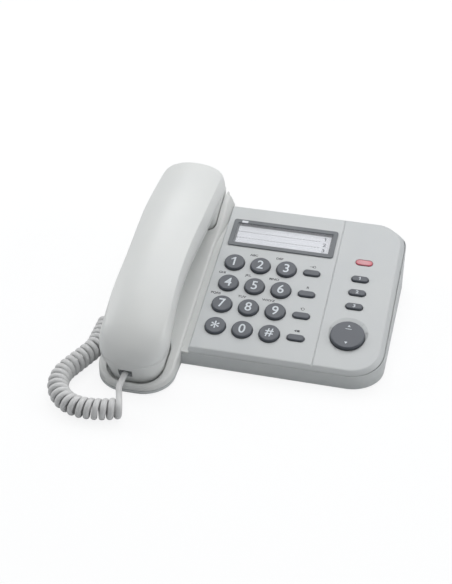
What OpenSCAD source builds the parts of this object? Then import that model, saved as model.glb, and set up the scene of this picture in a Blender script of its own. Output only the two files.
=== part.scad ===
// Corded desk telephone: wedge base with a keypad deck, a handset cradle along its left side,
// a curly cord and a lift-off handset. Origin: centre of the base footprint, on the table.
// X runs to the right of the user, Y away from the user, Z up.

/* [Base] */
// Overall width of the base
base_w = 196; // [190:1:220]
// Overall depth of the base, along the cradle
base_d = 196; // [190:1:210]
// Slope of the keypad deck
deck_tilt = 11.57; // [10:0.01:13]
// Height of the deck plane above the table at mid depth
deck_z0 = 27; // [26:0.1:32]
// Distance from the cradle's front edge back to the keypad block's front wall
block_set = 38; // [34:1:40]
// Distance from the cradle's rear edge forward to the keypad block's rear wall
block_inset = 10; // [8:1:12]
// Corner radius of the keypad block
block_r = 24; // [14:1:26]
// Wall thickness of the case
wall = 2.4; // [1.8:0.1:3]
// Thickness of the case floor
floor_t = 2.2; // [1.6:0.1:2.6]
// Clearance under the case, made by the feet
foot_h = 1.5; // [1:0.1:3]
// Diameter of the rubber feet
foot_d = 14; // [10:1:18]
// Height of the deck plate, and of the bevel round it
deck_t = 2; // [1.6:0.1:2.4]
// Width of the bevel round the deck
bevel_run = 3.2; // [2:0.1:5]
// Gap along the parting line of the case
seam = 0.05; // [0.05:0.01:0.2]
// Width of the groove between the dial side and the volume side
groove_w = 0.8; // [0.5:0.1:1.2]

/* [Cradle] */
// Width of the cradle wing
cradle_w = 54.5; // [54:0.5:60]
// Corner radius at the front of the cradle
cradle_r = 22; // [16:1:25]
// Corner radius at the rear of the cradle
cradle_rear_r = 9; // [4:1:14]
// Height of the cradle rim above the deck plane
rim_h = 1; // [0.5:0.1:3]
// Height that the rim gains round the ear cup
hump_h = 6; // [3:0.5:8]
// Gap between a handset cup and its well
well_gap = 1.1; // [0.8:0.1:1.6]
// Gap under a handset cup that rests in its well
seat_gap = 0.3; // [0.2:0.05:0.5]

/* [Handset] */
// Width of the handset
hs_w = 48.6; // [46:0.2:49]
// Narrowing of the handset at its grip, on each side
hs_waist = 1.9; // [0:0.1:3]
// Distance from the cradle's front edge back to the front tip of the handset
hs_front_inset = 0.6; // [0:0.2:2]
// Distance from the cradle's rear edge forward to the rear tip of the handset
hs_rear_inset = 0; // [0:0.2:1]
// Height of the handset's crown above the table
hs_crown = 76; // [74:0.1:80]
// Radius of the handset's arch
hs_arch_r = 560; // [480:5:700]
// Drop of the line between the handset's shells at the mouth end, below its arch
hs_nose_drop = 13; // [8:0.5:15]
// Depth of the handset's back shell
hs_back_h = 18.5; // [16:0.5:20]
// Depth of the handset's face shell along the grip
hs_face_h = 9; // [8:0.5:10]
// Wall thickness of the handset shells
hs_wall = 2; // [1.6:0.1:2.4]
// Width of the mouth cup at its face
mouth_w = 39.6; // [38:0.2:41]
// Length of the mouth cup at its face
mouth_l = 43; // [38:1:46]
// Width of the ear cup
ear_w = 46; // [42:0.5:46.5]
// Length of the ear cup
ear_l = 41; // [38:0.5:42]
// Depth of the mouth cup's face below the deck plane
mouth_sink = 3; // [2:0.1:3.2]
// Depth of the ear cup's face below the deck plane
ear_sink = 9; // [7:0.5:10]

/* [Keys] */
// Diameter of a dial key
key_d = 14.8; // [13:0.1:15.6]
// Distance between dial key columns
key_px = 19.66; // [19.2:0.02:20]
// Distance between dial key rows, along the deck
key_py = 20.75; // [20.5:0.05:21.2]
// Height of the dial keys above the deck
key_h = 2.2; // [1.8:0.1:3]
// Clearance round each key in its hole
key_gap = 0.35; // [0.3:0.05:0.5]
// Travel of the keys
key_travel = 1.2; // [0.8:0.1:1.4]
// Thickness of the flange that holds a key under the deck
flange_t = 1; // [0.8:0.1:1.2]
// Width of the flange past the key
flange_run = 1.2; // [0.9:0.1:1.4]
// Length of an oblong key
pill_l = 12.4; // [11:0.1:13]
// Width of an oblong key
pill_w = 5.4; // [4.6:0.1:6]
// Height of the oblong keys above the deck
pill_h = 1.5; // [1:0.1:2]
// Diameter of the volume key
volume_d = 26.4; // [24:0.2:28]
// Height of the volume key above the deck
volume_h = 2; // [1.6:0.1:2.6]
// Diameter of the volume key's axle
axle_d = 2; // [1.6:0.1:2.4]

/* [Number card] */
// Width of the card frame
frame_w = 80.6; // [76:0.2:82]
// Depth of the card frame, along the deck
frame_l = 27.4; // [25:0.2:28]
// Width of the frame's side bars
frame_bar = 3.7; // [3.2:0.1:5]
// Height of the card frame above the deck
frame_h = 0.9; // [0.6:0.1:1.4]
// Thickness of the clear window
window_t = 1.2; // [1:0.1:1.4]

/* [Cord] */
// Number of curls in the curly cord
curls = 27; // [24:1:30]
// Distance between curls along the coil
curl_pitch = 5; // [4.8:0.1:5.4]
// Radius of a curl, to the middle of the cord
curl_r = 5.9; // [5.6:0.1:6.2]
// Diameter of the cord
cord_d = 3.2; // [2.8:0.1:3.4]

/* [Hidden] */
$fn = 64;
// Dial keys, by row from the front and by column from the left
dial_names = ["star", "0", "hash", "7", "8", "9", "4", "5", "6", "1", "2", "3"];

// Footprint
left_x = -base_w/2;
right_x = base_w/2;
wing_x = left_x + cradle_w;
front_y = -base_d/2;
rear_y = base_d/2;
block_front = base_d/2 - block_set;
block_rear = base_d/2 - block_inset;
hs_front = base_d/2 - hs_front_inset;
hs_rear = base_d/2 - hs_rear_inset;
floor_top = foot_h + floor_t;
big = 400;
eps = 0.01;

// Deck: its own frame lies on the deck plane, x as above, v up the slope, n square to it
deck_sin = sin(deck_tilt);
deck_cos = cos(deck_tilt);
ledge_w = 1.1;
strip_w = 1.9;
strip_t = 2;
deck_r = block_r - 1;
deck_x0 = wing_x + strip_w;
deck_v0 = v_at(-block_front, -deck_t) + ledge_w;
deck_v1 = v_at(block_rear, -deck_t) - ledge_w;
groove_x = 49.5;
groove_depth = 0.7;
lip_t = 1.4;
lip_h = 3;
lip_clear = 12;

// Keys, as [x, v] of each centre
key_first = [-24.5, -36.4];
function_x = 33.8;
memory_first = [69.6, 26.4];
memory_pitch = 13.3;
lamp_at = [70, 43.4];
lamp_h = 0.8;
volume_at = [69.4, -28.4];
volume_gap = 0.5;
volume_hole_d = volume_d + 2*volume_gap;
volume_dish = 2;
volume_dish_depth = 0.8;
volume_rim = 1;
volume_foot_v = 8;

// Layers under the deck, as heights n in its frame
run_gap = 0.2;
dome_h = 1;
mat_t = 1;
board_t = 1.6;
flange_n = -deck_t - run_gap;
stem_h = 0.4;
dome_n = flange_n - flange_t - stem_h - key_travel - run_gap;
mat_n = dome_n - dome_h;
board_n = mat_n - mat_t;
dome_d = 7;
stem_d = 6;
axle_n = -deck_t - 2.2;
lug_r = axle_d/2 + 1;
lug_x = 8.5;
lug_t = 2.4;
bracket_gap = 0.6;
axle_gap = 0.15;

// Card frame
frame_at = [6.05, 56.9];
frame_r = 2;
frame_lip = 1.6;
card_t = 0.4;
tray_floor_t = 0.9;
window_seat = 0.9;
card_seat = window_seat + 1;
card_step = 0.6;
window_w = frame_w - 2*frame_bar;
window_l = frame_l - 2*frame_bar;

// Cradle
hs_x = left_x + cradle_w/2;
hump_run = 44;
skin = 2.2;
well_floor = 1.3;
cup_flare = 0.8;
rim_edge = 3;
mouth_r = 15;
mouth_y0 = -hs_front + 4.2;
ear_r = 9;
ear_y1 = hs_rear - 2.4;
hump_y = ear_y1 - 53.6;

// Handset
hs_r_front = 18;
hs_r_rear = 13;
hs_peak_y = hs_rear - 58;
hs_waist_y = -hs_front + 72.4;
hs_waist_run = 65;
hs_nose_y = hs_front - 55.4;
hs_nose_run = 52;
hs_nose_r = 20;
hs_tail_r = 9;
hs_round = 2.75;
ring_sides = 18;
stations = 24;

// Boards and their fixings, as [x, y] in the footprint
boss_d = 7;
screw_d = 2.9;
screw_gap = 0.1;
screw_head_d = 6;
screw_head_h = 1.1;
screw_l = 9;
bosses = [[wing_x + 5.8, -block_front + 9.5], [left_x + 11, 10], [right_x - 8, -33],
          [right_x - 8, 64], [wing_x + 5.8, block_rear - 9]];
board_z = 9;
transformer = [18, 16, 11];
capacitor_d = 10;
capacitor_h = 12;
relay = [8, 14, 7];
board_x = [wing_x + 8, right_x - 12];
board_y = [block_rear - 86, block_rear - 14];
board_posts = [[board_x[0] + 10.5, board_y[0] + 10], [board_x[1] - 9, board_y[0] + 10],
               [board_x[0] + 10.5, board_y[1] - 4], [board_x[1] - 9, board_y[1] - 10]];
key_board_posts = [[-14.7, -26], [5, 15.5], [50, -26], [50, 15.5]];
key_board_x = [wing_x + 10, right_x - 14];
key_board_v = [-49, 52];
keyhole_x = 23;
keyhole_y = -block_front + 22;
keyhole_span = 83;
keyhole_r = 4.25;
keyhole_slot = 4.6;
arm_x0 = hs_x - 8;
plunger_y = ear_y1 - 29.6;
arm_y = [plunger_y - 14, board_y[1]];
ringer_at = [right_x - 29, -block_front + 36];
ringer_d = 30;
ringer_h = 6;
sound_hole_d = 2.4;
sound_hole_r = 7;
ballast_size = [30, 34, 4];
mat_rim = 8.5;
led_d = 3;
key_dome = 0.5;
feet = [[left_x + 12, front_y + 28], [right_x - 14, -block_front + 16],
        [left_x + 12, rear_y - 16], [right_x - 17, block_rear - 12]];
foot_sink = 0.7;
plunger_size = [8, 5];
plunger_gap = 0.4;
plunger_foot = [4, 4];
plunger_foot_t = 1.4;
switch_size = [14, 8, 7];
switch_top = board_z + board_t + switch_size.z;
leaf_w = 6;
leaf_t = 0.3;
leaf_rise = 2;
tab_w = 14;
tab_t = 1.6;
tab_h = 5;
tab_y = ear_y1 - ear_l - 7;

// Telephone jacks and plugs
plug_w = 7.7;
plug_h = 6.2;
plug_l = 12;
plug_gap = 0.15;
jack_wall = 2;
socket_w = 9.8;
socket_h = 6.8;
socket_l = 11;
line_x = 51;
cord_z = 12;
hs_plug_x = hs_x - 3;
hs_plug_z = deck_z(-hs_front) + 8.341;
hs_plug_y = -hs_front + 3.4;
hs_jack_y = hs_plug_y + 3.5;
hs_screw_at = [[hs_x, -hs_front + 61.4], [hs_x, hs_rear - 62]];
hs_pad_h = 4;
ear_at = [hs_x, v_at(ear_y1 - ear_l/2, -ear_sink)];
mouth_at = [hs_x, v_at(mouth_y0 + 0.5*mouth_l, -mouth_sink)];
weight_y = 0;
weight_size = [22, 32, 5];
speaker_d = 30;
speaker_h = 7;
speaker_rim_h = 3;
microphone_d = 9.7;
microphone_h = 6;
base_plug_x = left_x - 2.6;

// Curly cord: its axis on the table is a chain of arcs, as [length, turn to the left in degrees]
coil_start = [hs_x + 0.75, front_y - 22.5];
coil_heading = 205.7;
coil_arcs = [[25.5, -27.35], [49.8, -112.05], [24.6, 0], [8, 23.7], [60, 0]];
coil_z = curl_r + cord_d/2;
cord_rings = 8;
cord_sides = 6;
lead_sides = 8;
// The coil ends three quarters of a curl on, where its cord climbs beside the base
turns = curls - 0.25;
coil_l = turns*curl_pitch;
coil_end = axis_at(coil_l);
jack_y = coil_end.y + 22;

// Route of the straight cord at the handset end, between its plug's run and the first curl's
handset_route = [[hs_plug_x, front_y - 5.6, hs_plug_z], [hs_plug_x, front_y - 10.6, hs_plug_z - 0.3]];
// Route of the straight cord at the base end, from the last curl to its plug, from the coil's end
base_route = [[5.6, 2.6, 16], [4.9, 5.4, 17], [3.4, 8.8, 16.6], [1.4, 12.2, 15.2], [-0.4, 15.4, 13.6],
              [-1.2, 18.4, 12.5], [-0.3, 20.8, 12.1]];

// ---- Shared functions ----

function deck_z(y) = deck_z0 + y*deck_sin/deck_cos;
function v_at(y, n) = (y + n*deck_sin)/deck_cos;
// Drop of a rounded edge of radius r at distance d from its end
function edge_drop(d, r) = d >= r ? 0 : r - sqrt(max(0, r*r - (r - d)*(r - d)));
function smooth(t) = let (u = min(1, max(0, t))) u*u*(3 - 2*u);

// Height of the cradle's top along y, lowered by drop
function rim_z(y, drop) = deck_z(y) + (rim_h - drop)/deck_cos + hump_h*smooth((y - hump_y)/hump_run);

// Handset: height of the line where its two shells meet
function hs_nose(y) = hs_nose_drop*smooth((-y - hs_nose_y)/hs_nose_run);
function hs_part(y) =
  hs_crown - hs_back_h - (y - hs_peak_y)*(y - hs_peak_y)/(2*hs_arch_r) - hs_nose(y);
function hs_slope(y) = atan((hs_part(y + 1) - hs_part(y - 1))/2);
// Half width at y of an outline inset from the handset's own
function hs_half(y, inset) =
  hs_w/2 - inset - hs_waist*(1 - smooth(abs(y - hs_waist_y)/hs_waist_run))
  - edge_drop(y + hs_front - inset, hs_r_front - inset)
  - edge_drop(hs_rear - inset - y, hs_r_rear - inset);
// Height h of an outline at y, rounded down towards its two ends
function hs_fall(y, h, inset) =
  h
  - end_drop(y + hs_front - inset, hs_nose_r - inset, h - 0.4)
  - end_drop(hs_rear - inset - y, hs_tail_r - inset, h - 0.4);
// Drop at distance d from an end that falls by h over a length of run, as a quarter of an ellipse
function end_drop(d, run, h) = edge_drop(d*h/run, h);
function power(s, e) = sign(s)*pow(abs(s), 2/e);

// ---- Shared shapes ----

module on_deck() {
  translate([0, 0, deck_z0])
    rotate([deck_tilt, 0, 0])
      children();
}

module at_deck(p, n = 0) {
  on_deck()
    translate([p.x, p.y, n])
      children();
}

// Everything under the plane at height n of the deck's frame, and everything over it
module under_deck(n) {
  on_deck()
    translate([-big/2, -big/2, n - big/2])
      cube([big, big, big/2]);
}

module over_deck(n) {
  on_deck()
    translate([-big/2, -big/2, n])
      cube([big, big, big/2]);
}

// Rectangle with its own radius at each corner: front left, front right, rear right, rear left
module corner_plan(x0, x1, y0, y1, r) {
  at = [[x0 + r[0], y0 + r[0]], [x1 - r[1], y0 + r[1]], [x1 - r[2], y1 - r[2]], [x0 + r[3], y1 - r[3]]];
  cut = [[x0, y0], [x1 - r[1], y0], [x1 - r[2], y1 - r[2]], [x0, y1 - r[3]]];
  difference() {
    translate([x0, y0])
      square([x1 - x0, y1 - y0]);
    for (i = [0:3])
      if (r[i] > 0)
        translate(cut[i])
          square(r[i]);
  }
  for (i = [0:3])
    if (r[i] > 0)
      translate(at[i])
        circle(r[i]);
}

module round_plan(w, l, r) {
  corner_plan(-w/2, w/2, -l/2, l/2, [r, r, r, r]);
}

// Oblong with fully round ends along x
module oblong(w, l) {
  square([w - l, l], center = true);
  for (side = [-1, 1])
    translate([side*(w - l)/2, 0])
      circle(l/2);
}

module block_plan(inset = 0) {
  r = block_r - inset;
  corner_plan(wing_x, right_x - inset, -block_front + inset, block_rear - inset, [0, r, r, 0]);
}

module wing_plan(inset = 0) {
  front_r = cradle_r - inset;
  rear_r = cradle_rear_r - inset;
  corner_plan(left_x + inset, wing_x - inset, front_y + inset, rear_y - inset,
              [front_r, front_r, rear_r, rear_r]);
}

// Side profile of the cradle, lowered by drop, as a solid right across it
module wing_profile(drop) {
  steps = 56;
  top = [for (i = [0:steps])
    let (d = base_d*(1 - cos(180*i/steps))/2)
    [front_y + d, rim_z(front_y + d, drop) - edge_drop(d, rim_edge) - edge_drop(base_d - d, cradle_rear_r)]];
  translate([left_x - 1, 0, 0])
    rotate([90, 0, 90])
      linear_extrude(cradle_w + 2)
        polygon(concat([[front_y, floor_top + seam]], top, [[rear_y, floor_top + seam]]));
}

// Plate from height -h to 0 with bevelled edges; its right corners are round, its left ones square
module bevel_plate(x0, x1, v0, v1, r, run, h) {
  side = [[x0, -h], [x1, -h], [x1 - run, 0], [x0 + run, 0]];
  ends = [[v0, -h], [v1, -h], [v1 - run, 0], [v0 + run, 0]];
  intersection() {
    rotate([90, 0, 90])
      translate([0, 0, x0])
        linear_extrude(x1 - r - x0)
          polygon(ends);
    translate([0, v1, 0])
      rotate([90, 0, 0])
        linear_extrude(v1 - v0)
          polygon([side[0], [x1, -h], [x1, 0], side[3]]);
  }
  translate([0, v1 - r, 0])
    rotate([90, 0, 0])
      linear_extrude(v1 - v0 - 2*r)
        polygon(side);
  for (v = [v0 + r, v1 - r])
    translate([x1 - r, v, -h])
      cylinder(h = h, r1 = r, r2 = r - run);
}

// Where the cups of the handset stand, grown by g
module mouth_plan(g) {
  translate([hs_x, mouth_y0 + mouth_l/2])
    round_plan(mouth_w + 2*g, mouth_l + 2*g, mouth_r + g);
}

module ear_plan(g) {
  translate([hs_x, ear_y1 - ear_l/2])
    round_plan(ear_w + 2*g, ear_l + 2*g, ear_r + g);
}

// A well: its plan, from height n of the deck's frame upwards
module well(n) {
  intersection() {
    linear_extrude(big/4)
      children();
    over_deck(n);
  }
}

module at_keys() {
  for (i = [0:11])
    translate([key_first.x + (i % 3)*key_px, key_first.y + floor(i/3)*key_py])
      children();
}

module at_functions() {
  for (i = [0:3])
    translate([function_x, key_first.y + i*key_py])
      children();
}

module at_memories() {
  for (i = [0:2])
    translate([memory_first.x, memory_first.y - i*memory_pitch])
      children();
}

// ---- Case ----

module deck_holes() {
  on_deck()
    translate([0, 0, -deck_t - strip_t - 2]) {
      linear_extrude(big/20) {
        at_keys()
          circle(key_d/2 + key_gap);
        at_functions()
          oblong(pill_l + 2*key_gap, pill_w + 2*key_gap);
        at_memories()
          oblong(pill_l + 2*key_gap, pill_w + 2*key_gap);
        translate(lamp_at)
          oblong(pill_l + 2*key_gap, pill_w + 2*key_gap);
        translate(volume_at)
          circle(volume_hole_d/2);
        translate(frame_at)
          square([frame_w - 2*frame_lip, frame_l - 2*frame_lip], center = true);
      }
    }
  at_deck(volume_at, -volume_dish_depth)
    cylinder(h = volume_dish_depth + eps, d1 = volume_hole_d, d2 = volume_hole_d + 2*volume_dish);
  on_deck()
    translate([groove_x - groove_w/2, deck_v0 - 1, -groove_depth])
      cube([groove_w, deck_v1 - deck_v0 + 2, groove_depth + 1]);
}

// Lip of the cover, which locates it inside the case walls
module cover_lip() {
  intersection() {
    difference() {
      linear_extrude(big/4)
        block_plan(wall + run_gap);
      linear_extrude(big/4)
        block_plan(wall + run_gap + lip_t);
      translate([wing_x - eps, -big/2, 0])
        cube([lip_clear, big, big]);
    }
    under_deck(-deck_t + eps);
    over_deck(-deck_t - lip_h);
  }
}

module cover_bosses() {
  for (p = bosses)
    translate([p.x, p.y, floor_top + seam])
      cylinder(h = big/4, d = boss_d);
}

module volume_brackets() {
  at_deck(volume_at)
    for (side = [-1, 1])
      translate([side*(volume_d/2 + volume_gap + bracket_gap + lug_t/2), 0, 0]) {
        rotate([0, 90, 0])
          translate([-axle_n, 0, 0])
            cylinder(h = lug_t, r = lug_r, center = true);
        translate([-lug_t/2, -lug_r, axle_n])
          cube([lug_t, 2*lug_r, -axle_n - deck_t + eps]);
      }
}

module wing_shell() {
  difference() {
    intersection() {
      linear_extrude(big/4)
        wing_plan();
      wing_profile(0);
    }
    difference() {
      intersection() {
        linear_extrude(big/4)
          wing_plan(wall);
        translate([0, 0, -eps])
          wing_profile(skin);
      }
      well(-mouth_sink - seat_gap - well_floor)
        mouth_plan(well_gap + cup_flare + skin);
      well(-ear_sink - seat_gap - well_floor)
        ear_plan(well_gap + skin);
    }
    well(-mouth_sink - seat_gap)
      mouth_plan(well_gap + cup_flare);
    well(-ear_sink - seat_gap)
      ear_plan(well_gap);
    // Room for the tail of the handset, open to the rear
    translate([hs_x - hs_w/2 - well_gap, ear_y1 - ear_l/2, hs_part(hs_rear) - hs_face_h - well_gap])
      cube([hs_w + 2*well_gap, big, big]);
    // Way through to the keypad block, under the strip
    intersection() {
      translate([wing_x - wall - 1, -block_front + wall, 0])
        cube([wall + 2, block_front + block_rear - 2*wall, big/4]);
      under_deck(-deck_t - strip_t);
    }
  }
}

module top_cover() {
  color("whitesmoke")
    difference() {
      union() {
        wing_shell();
        on_deck()
          bevel_plate(deck_x0, right_x - ledge_w, deck_v0, deck_v1, deck_r, bevel_run, deck_t);
        on_deck()
          translate([wing_x - eps, deck_v0, -deck_t - strip_t])
            cube([strip_w + bevel_run, deck_v1 - deck_v0, strip_t]);
        cover_lip();
        volume_brackets();
        intersection() {
          cover_bosses();
          union() {
            under_deck(-deck_t + eps);
            wing_profile(skin/2);
          }
        }
        at_posts(board_n, -deck_t + eps, boss_d - 1);
      }
      deck_holes();
      for (p = bosses)
        translate([p.x, p.y, 0])
          cylinder(h = screw_head_h + foot_h + screw_l + 1, d = screw_d + 2*screw_gap);
      at_posts(board_n - 1, -deck_t - 1, screw_d + 2*screw_gap);
      at_deck(volume_at, axle_n)
        rotate([0, 90, 0])
          cylinder(h = volume_d + 20, d = axle_d + 2*axle_gap, center = true);
      // Guide of the hook plunger, and the slot of the wall tab
      translate([hs_x, plunger_y, floor_top + 10])
        linear_extrude(big/8)
          square(plunger_size + [2*plunger_gap, 2*plunger_gap], center = true);
      translate([hs_x, tab_y, floor_top + 10])
        linear_extrude(big/4)
          square([tab_w + 2*axle_gap, tab_t + 2*axle_gap], center = true);
      // Window of the handset cord's jack
      translate([left_x - 1, jack_y - plug_w/2 - plug_gap, cord_z - plug_h/2 - plug_gap])
        cube([wall + 2, plug_w + 2*plug_gap, plug_h + 2*plug_gap]);
    }
}

module at_posts(n0, n1, d) {
  for (p = key_board_posts)
    at_deck(p, n0)
      cylinder(h = n1 - n0, d = d);
}

module keyhole() {
  circle(keyhole_r);
  translate([-keyhole_slot/2, 0])
    square([keyhole_slot, keyhole_r + 8]);
}

module bottom_case() {
  color("gainsboro")
    difference() {
      union() {
        translate([0, 0, foot_h])
          linear_extrude(floor_t) {
            wing_plan();
            block_plan();
          }
        intersection() {
          translate([0, 0, foot_h])
            linear_extrude(big/4)
              difference() {
                block_plan();
                block_plan(wall);
                translate([wing_x - eps, -block_front + wall])
                  square([wall + 2*eps, block_front + block_rear - 2*wall]);
              }
          under_deck(-deck_t - seam);
        }
        for (p = board_posts)
          translate([p.x, p.y, floor_top - eps])
            cylinder(h = board_z - floor_top + eps, d = boss_d);
      }
      // Seat of the cover's strip
      intersection() {
        translate([wing_x - eps, -big/2, 0])
          cube([strip_w + bevel_run + seam + eps, big, big]);
        over_deck(-deck_t - strip_t - seam);
      }
      for (p = bosses)
        translate([p.x, p.y, 0]) {
          cylinder(h = big/10, d = screw_d + 2*screw_gap);
          cylinder(h = foot_h + screw_head_h + screw_gap, d = screw_head_d + 2*screw_gap);
        }
      for (p = board_posts)
        translate([p.x, p.y, foot_h + 1])
          cylinder(h = board_z, d = screw_d + 2*screw_gap);
      for (p = feet)
        translate([p.x, p.y, 0])
          cylinder(h = foot_h + foot_sink, d = foot_d);
      for (y = [keyhole_y, keyhole_y + keyhole_span])
        translate([keyhole_x, y, 0])
          linear_extrude(floor_top + 1)
            keyhole();
      // Sound holes under the ringer
      for (i = [0:5])
        translate([ringer_at.x, ringer_at.y, 0])
          rotate([0, 0, 60*i])
            translate([sound_hole_r, 0, 0])
              cylinder(h = floor_top + 1, d = sound_hole_d);
      // Window of the line jack
      translate([line_x - socket_w/2, block_rear - wall - 1, board_z + board_t + jack_wall])
        cube([socket_w, wall + 2, socket_h]);
    }
}

module screw(head_h, l) {
  cylinder(h = head_h, d = screw_head_d);
  translate([0, 0, head_h - eps])
    cylinder(h = l + eps, d = screw_d);
}

module case_screws() {
  color("silver")
    for (p = bosses)
      translate([p.x, p.y, foot_h])
        screw(screw_head_h, screw_l);
}

module rubber_feet() {
  color("dimgray")
    for (p = feet)
      translate([p.x, p.y, 0])
        cylinder(h = foot_h + foot_sink, d = foot_d);
}

module wall_tab() {
  color("whitesmoke")
    translate([hs_x, tab_y, rim_z(tab_y, skin)]) {
      translate([-tab_w/2, -tab_t/2, -2])
        cube([tab_w, tab_t, skin + tab_h + 2]);
      intersection() {
        translate([-tab_w/2 - 2, -3, -3])
          cube([tab_w + 4, 6, 3 + tab_t]);
        translate([-hs_x, -tab_y, -rim_z(tab_y, skin)])
          under_deck(rim_h - skin - seam);
      }
    }
}

// ---- Boards and what stands on them ----

module key_board() {
  color("darkgreen")
    difference() {
      on_deck()
        translate([key_board_x[0], key_board_v[0], board_n - board_t])
          cube([key_board_x[1] - key_board_x[0], key_board_v[1] - key_board_v[0], board_t]);
      at_posts(board_n - board_t - 1, board_n + 1, screw_d + 2*screw_gap);
    }
}

module main_board_plan() {
  translate([board_x[0], board_y[0]])
    square([board_x[1] - board_x[0], board_y[1] - board_y[0]]);
  translate([arm_x0, arm_y[0]])
    square([board_x[0] + 1 - arm_x0, arm_y[1] - arm_y[0]]);
}

module main_board() {
  color("seagreen")
    difference() {
      translate([0, 0, board_z])
        linear_extrude(board_t)
          main_board_plan();
      for (p = board_posts)
        translate([p.x, p.y, board_z - 1])
          cylinder(h = board_t + 2, d = screw_d + 2*screw_gap);
    }
  // Transformer, capacitors and relay
  color("goldenrod")
    translate([board_x[0], board_y[1], board_z + board_t - eps]) {
      translate([40.5, -transformer.y - 2, 0])
        cube(transformer);
      translate([22.5, -14, 0])
        cylinder(h = capacitor_h, d = capacitor_d);
      translate([72.5, -44, 0])
        cylinder(h = 0.75*capacitor_h, d = 0.8*capacitor_d);
      translate([board_x[1] - board_x[0] - relay.x - 5, -relay.y - 20, 0])
        cube(relay);
    }
}

module board_screws() {
  color("silver") {
    for (p = board_posts)
      translate([p.x, p.y, board_z + board_t + screw_head_h])
        mirror([0, 0, 1])
          screw(screw_head_h, board_t + 4);
    for (p = key_board_posts)
      at_deck(p, board_n - board_t - screw_head_h)
        screw(screw_head_h, board_t + 3);
  }
}

module mat_dome() {
  translate([0, 0, mat_n - eps])
    cylinder(h = dome_h + eps, d1 = dome_d + 1, d2 = dome_d);
}

module mat_holes() {
  for (p = key_board_posts)
    translate([p.x, p.y, board_n - 1])
      cylinder(h = mat_t + 3, d = boss_d);
}

module keypad_mat() {
  color("lightgray")
    on_deck()
      difference() {
        union() {
          translate([key_first.x - mat_rim, key_first.y - mat_rim, board_n])
            cube([function_x - key_first.x + 2*mat_rim - 1, 3*key_py + 2*mat_rim, mat_t]);
          at_keys()
            mat_dome();
          at_functions()
            mat_dome();
        }
        mat_holes();
      }
}

module side_mat() {
  color("lightgray")
    on_deck() {
      translate([memory_first.x - mat_rim, memory_first.y - 2*memory_pitch - mat_rim/2, board_n])
        cube([2*mat_rim, 2*memory_pitch + mat_rim, mat_t]);
      translate([volume_at.x - 4.5, volume_at.y - 12.5, board_n])
        cube([9, memory_first.y - 2*memory_pitch - volume_at.y + 9, mat_t]);
      at_memories()
        mat_dome();
      for (side = [-1, 1])
        translate([volume_at.x, volume_at.y + side*volume_foot_v, 0])
          mat_dome();
    }
}

module lamp_led() {
  color("mistyrose")
    at_deck(lamp_at, board_n) {
      cylinder(h = -board_n - deck_t - flange_t - run_gap - seam, d = led_d);
      translate([-2.5, -2.5, 0])
        cube([5, 5, 1]);
    }
}

module lamp_lens() {
  color("lightcoral")
    at_deck(lamp_at) {
      translate([0, 0, -deck_t - flange_t])
        linear_extrude(deck_t + flange_t + lamp_h)
          oblong(pill_l, pill_w - 0.8);
      translate([0, 0, -deck_t - flange_t - seam])
        linear_extrude(flange_t)
          oblong(pill_l + 2*flange_run, pill_w + 2*flange_run);
    }
}

module ringer() {
  color("dimgray")
    translate([ringer_at.x, ringer_at.y, floor_top]) {
      cylinder(h = ringer_h/3, d = ringer_d);
      cylinder(h = ringer_h, d = 0.7*ringer_d);
    }
}

module ballast() {
  color("slategray")
    translate([left_x + 18, 4 - ballast_size.y, floor_top])
      cube(ballast_size);
}

// Body of a socket: closed at the back, its mouth at y = 0, its cavity along -y
module socket_body(w, h, l, side, cavity_l) {
  difference() {
    translate([-w/2 - side, -l, -h/2 - side])
      cube([w + 2*side, l, h + 2*side]);
    translate([-w/2, -cavity_l, -h/2])
      cube([w, cavity_l + 1, h]);
  }
}

module line_jack() {
  color("dimgray")
    translate([line_x, block_rear - wall - seam, board_z + board_t + jack_wall + socket_h/2])
      socket_body(socket_w, socket_h, socket_l + 2, jack_wall, socket_l);
}

module cord_jack() {
  color("dimgray")
    translate([left_x + wall + seam, jack_y, cord_z])
      rotate([0, 0, 90])
        socket_body(plug_w + 2*plug_gap, plug_h + 2*plug_gap, plug_l, jack_wall - 0.6, plug_l - wall + 0.4);
}

module hook_switch() {
  color("black")
    translate([hs_x - switch_size.x/2, plunger_y - switch_size.y/2, board_z + board_t])
      cube(switch_size);
}

module hook_spring() {
  l = switch_size.y;
  color("silver")
    translate([hs_x - leaf_w/2, plunger_y - l/2, switch_top])
      rotate([90, 0, 90])
        linear_extrude(leaf_w)
          polygon([[0, 0], [l, 0], [l, leaf_t], [leaf_t, leaf_t], [l, leaf_rise],
                   [l, leaf_rise + leaf_t], [0, leaf_t]]);
}

module hook_plunger() {
  color("gainsboro")
    intersection() {
      translate([hs_x, plunger_y, switch_top + leaf_rise + leaf_t + seat_gap]) {
        linear_extrude(big/8)
          square(plunger_size, center = true);
        linear_extrude(plunger_foot_t)
          square(plunger_size + plunger_foot, center = true);
      }
      under_deck(-ear_sink - seat_gap);
    }
}

// ---- Keys ----

module key_foot() {
  translate([0, 0, dome_n + key_travel + run_gap])
    cylinder(h = stem_h + eps, d = stem_d);
}

module dial_key(i) {
  color("dimgray")
    at_deck([key_first.x + (i % 3)*key_px, key_first.y + floor(i/3)*key_py]) {
      translate([0, 0, flange_n - flange_t])
        cylinder(h = flange_t, d = key_d + 2*flange_run);
      translate([0, 0, flange_n - flange_t])
        cylinder(h = key_h - flange_n + flange_t - key_dome, d = key_d);
      translate([0, 0, key_h - key_dome - eps])
        cylinder(h = key_dome, d1 = key_d, d2 = key_d - 3);
      key_foot();
    }
}

module pill_key(p) {
  color("dimgray")
    at_deck(p) {
      translate([0, 0, flange_n - flange_t])
        linear_extrude(flange_t)
          oblong(pill_l + 2*flange_run, pill_w + 2*flange_run);
      translate([0, 0, flange_n - flange_t])
        linear_extrude(pill_h - flange_n + flange_t)
          oblong(pill_l, pill_w);
      key_foot();
    }
}

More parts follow.
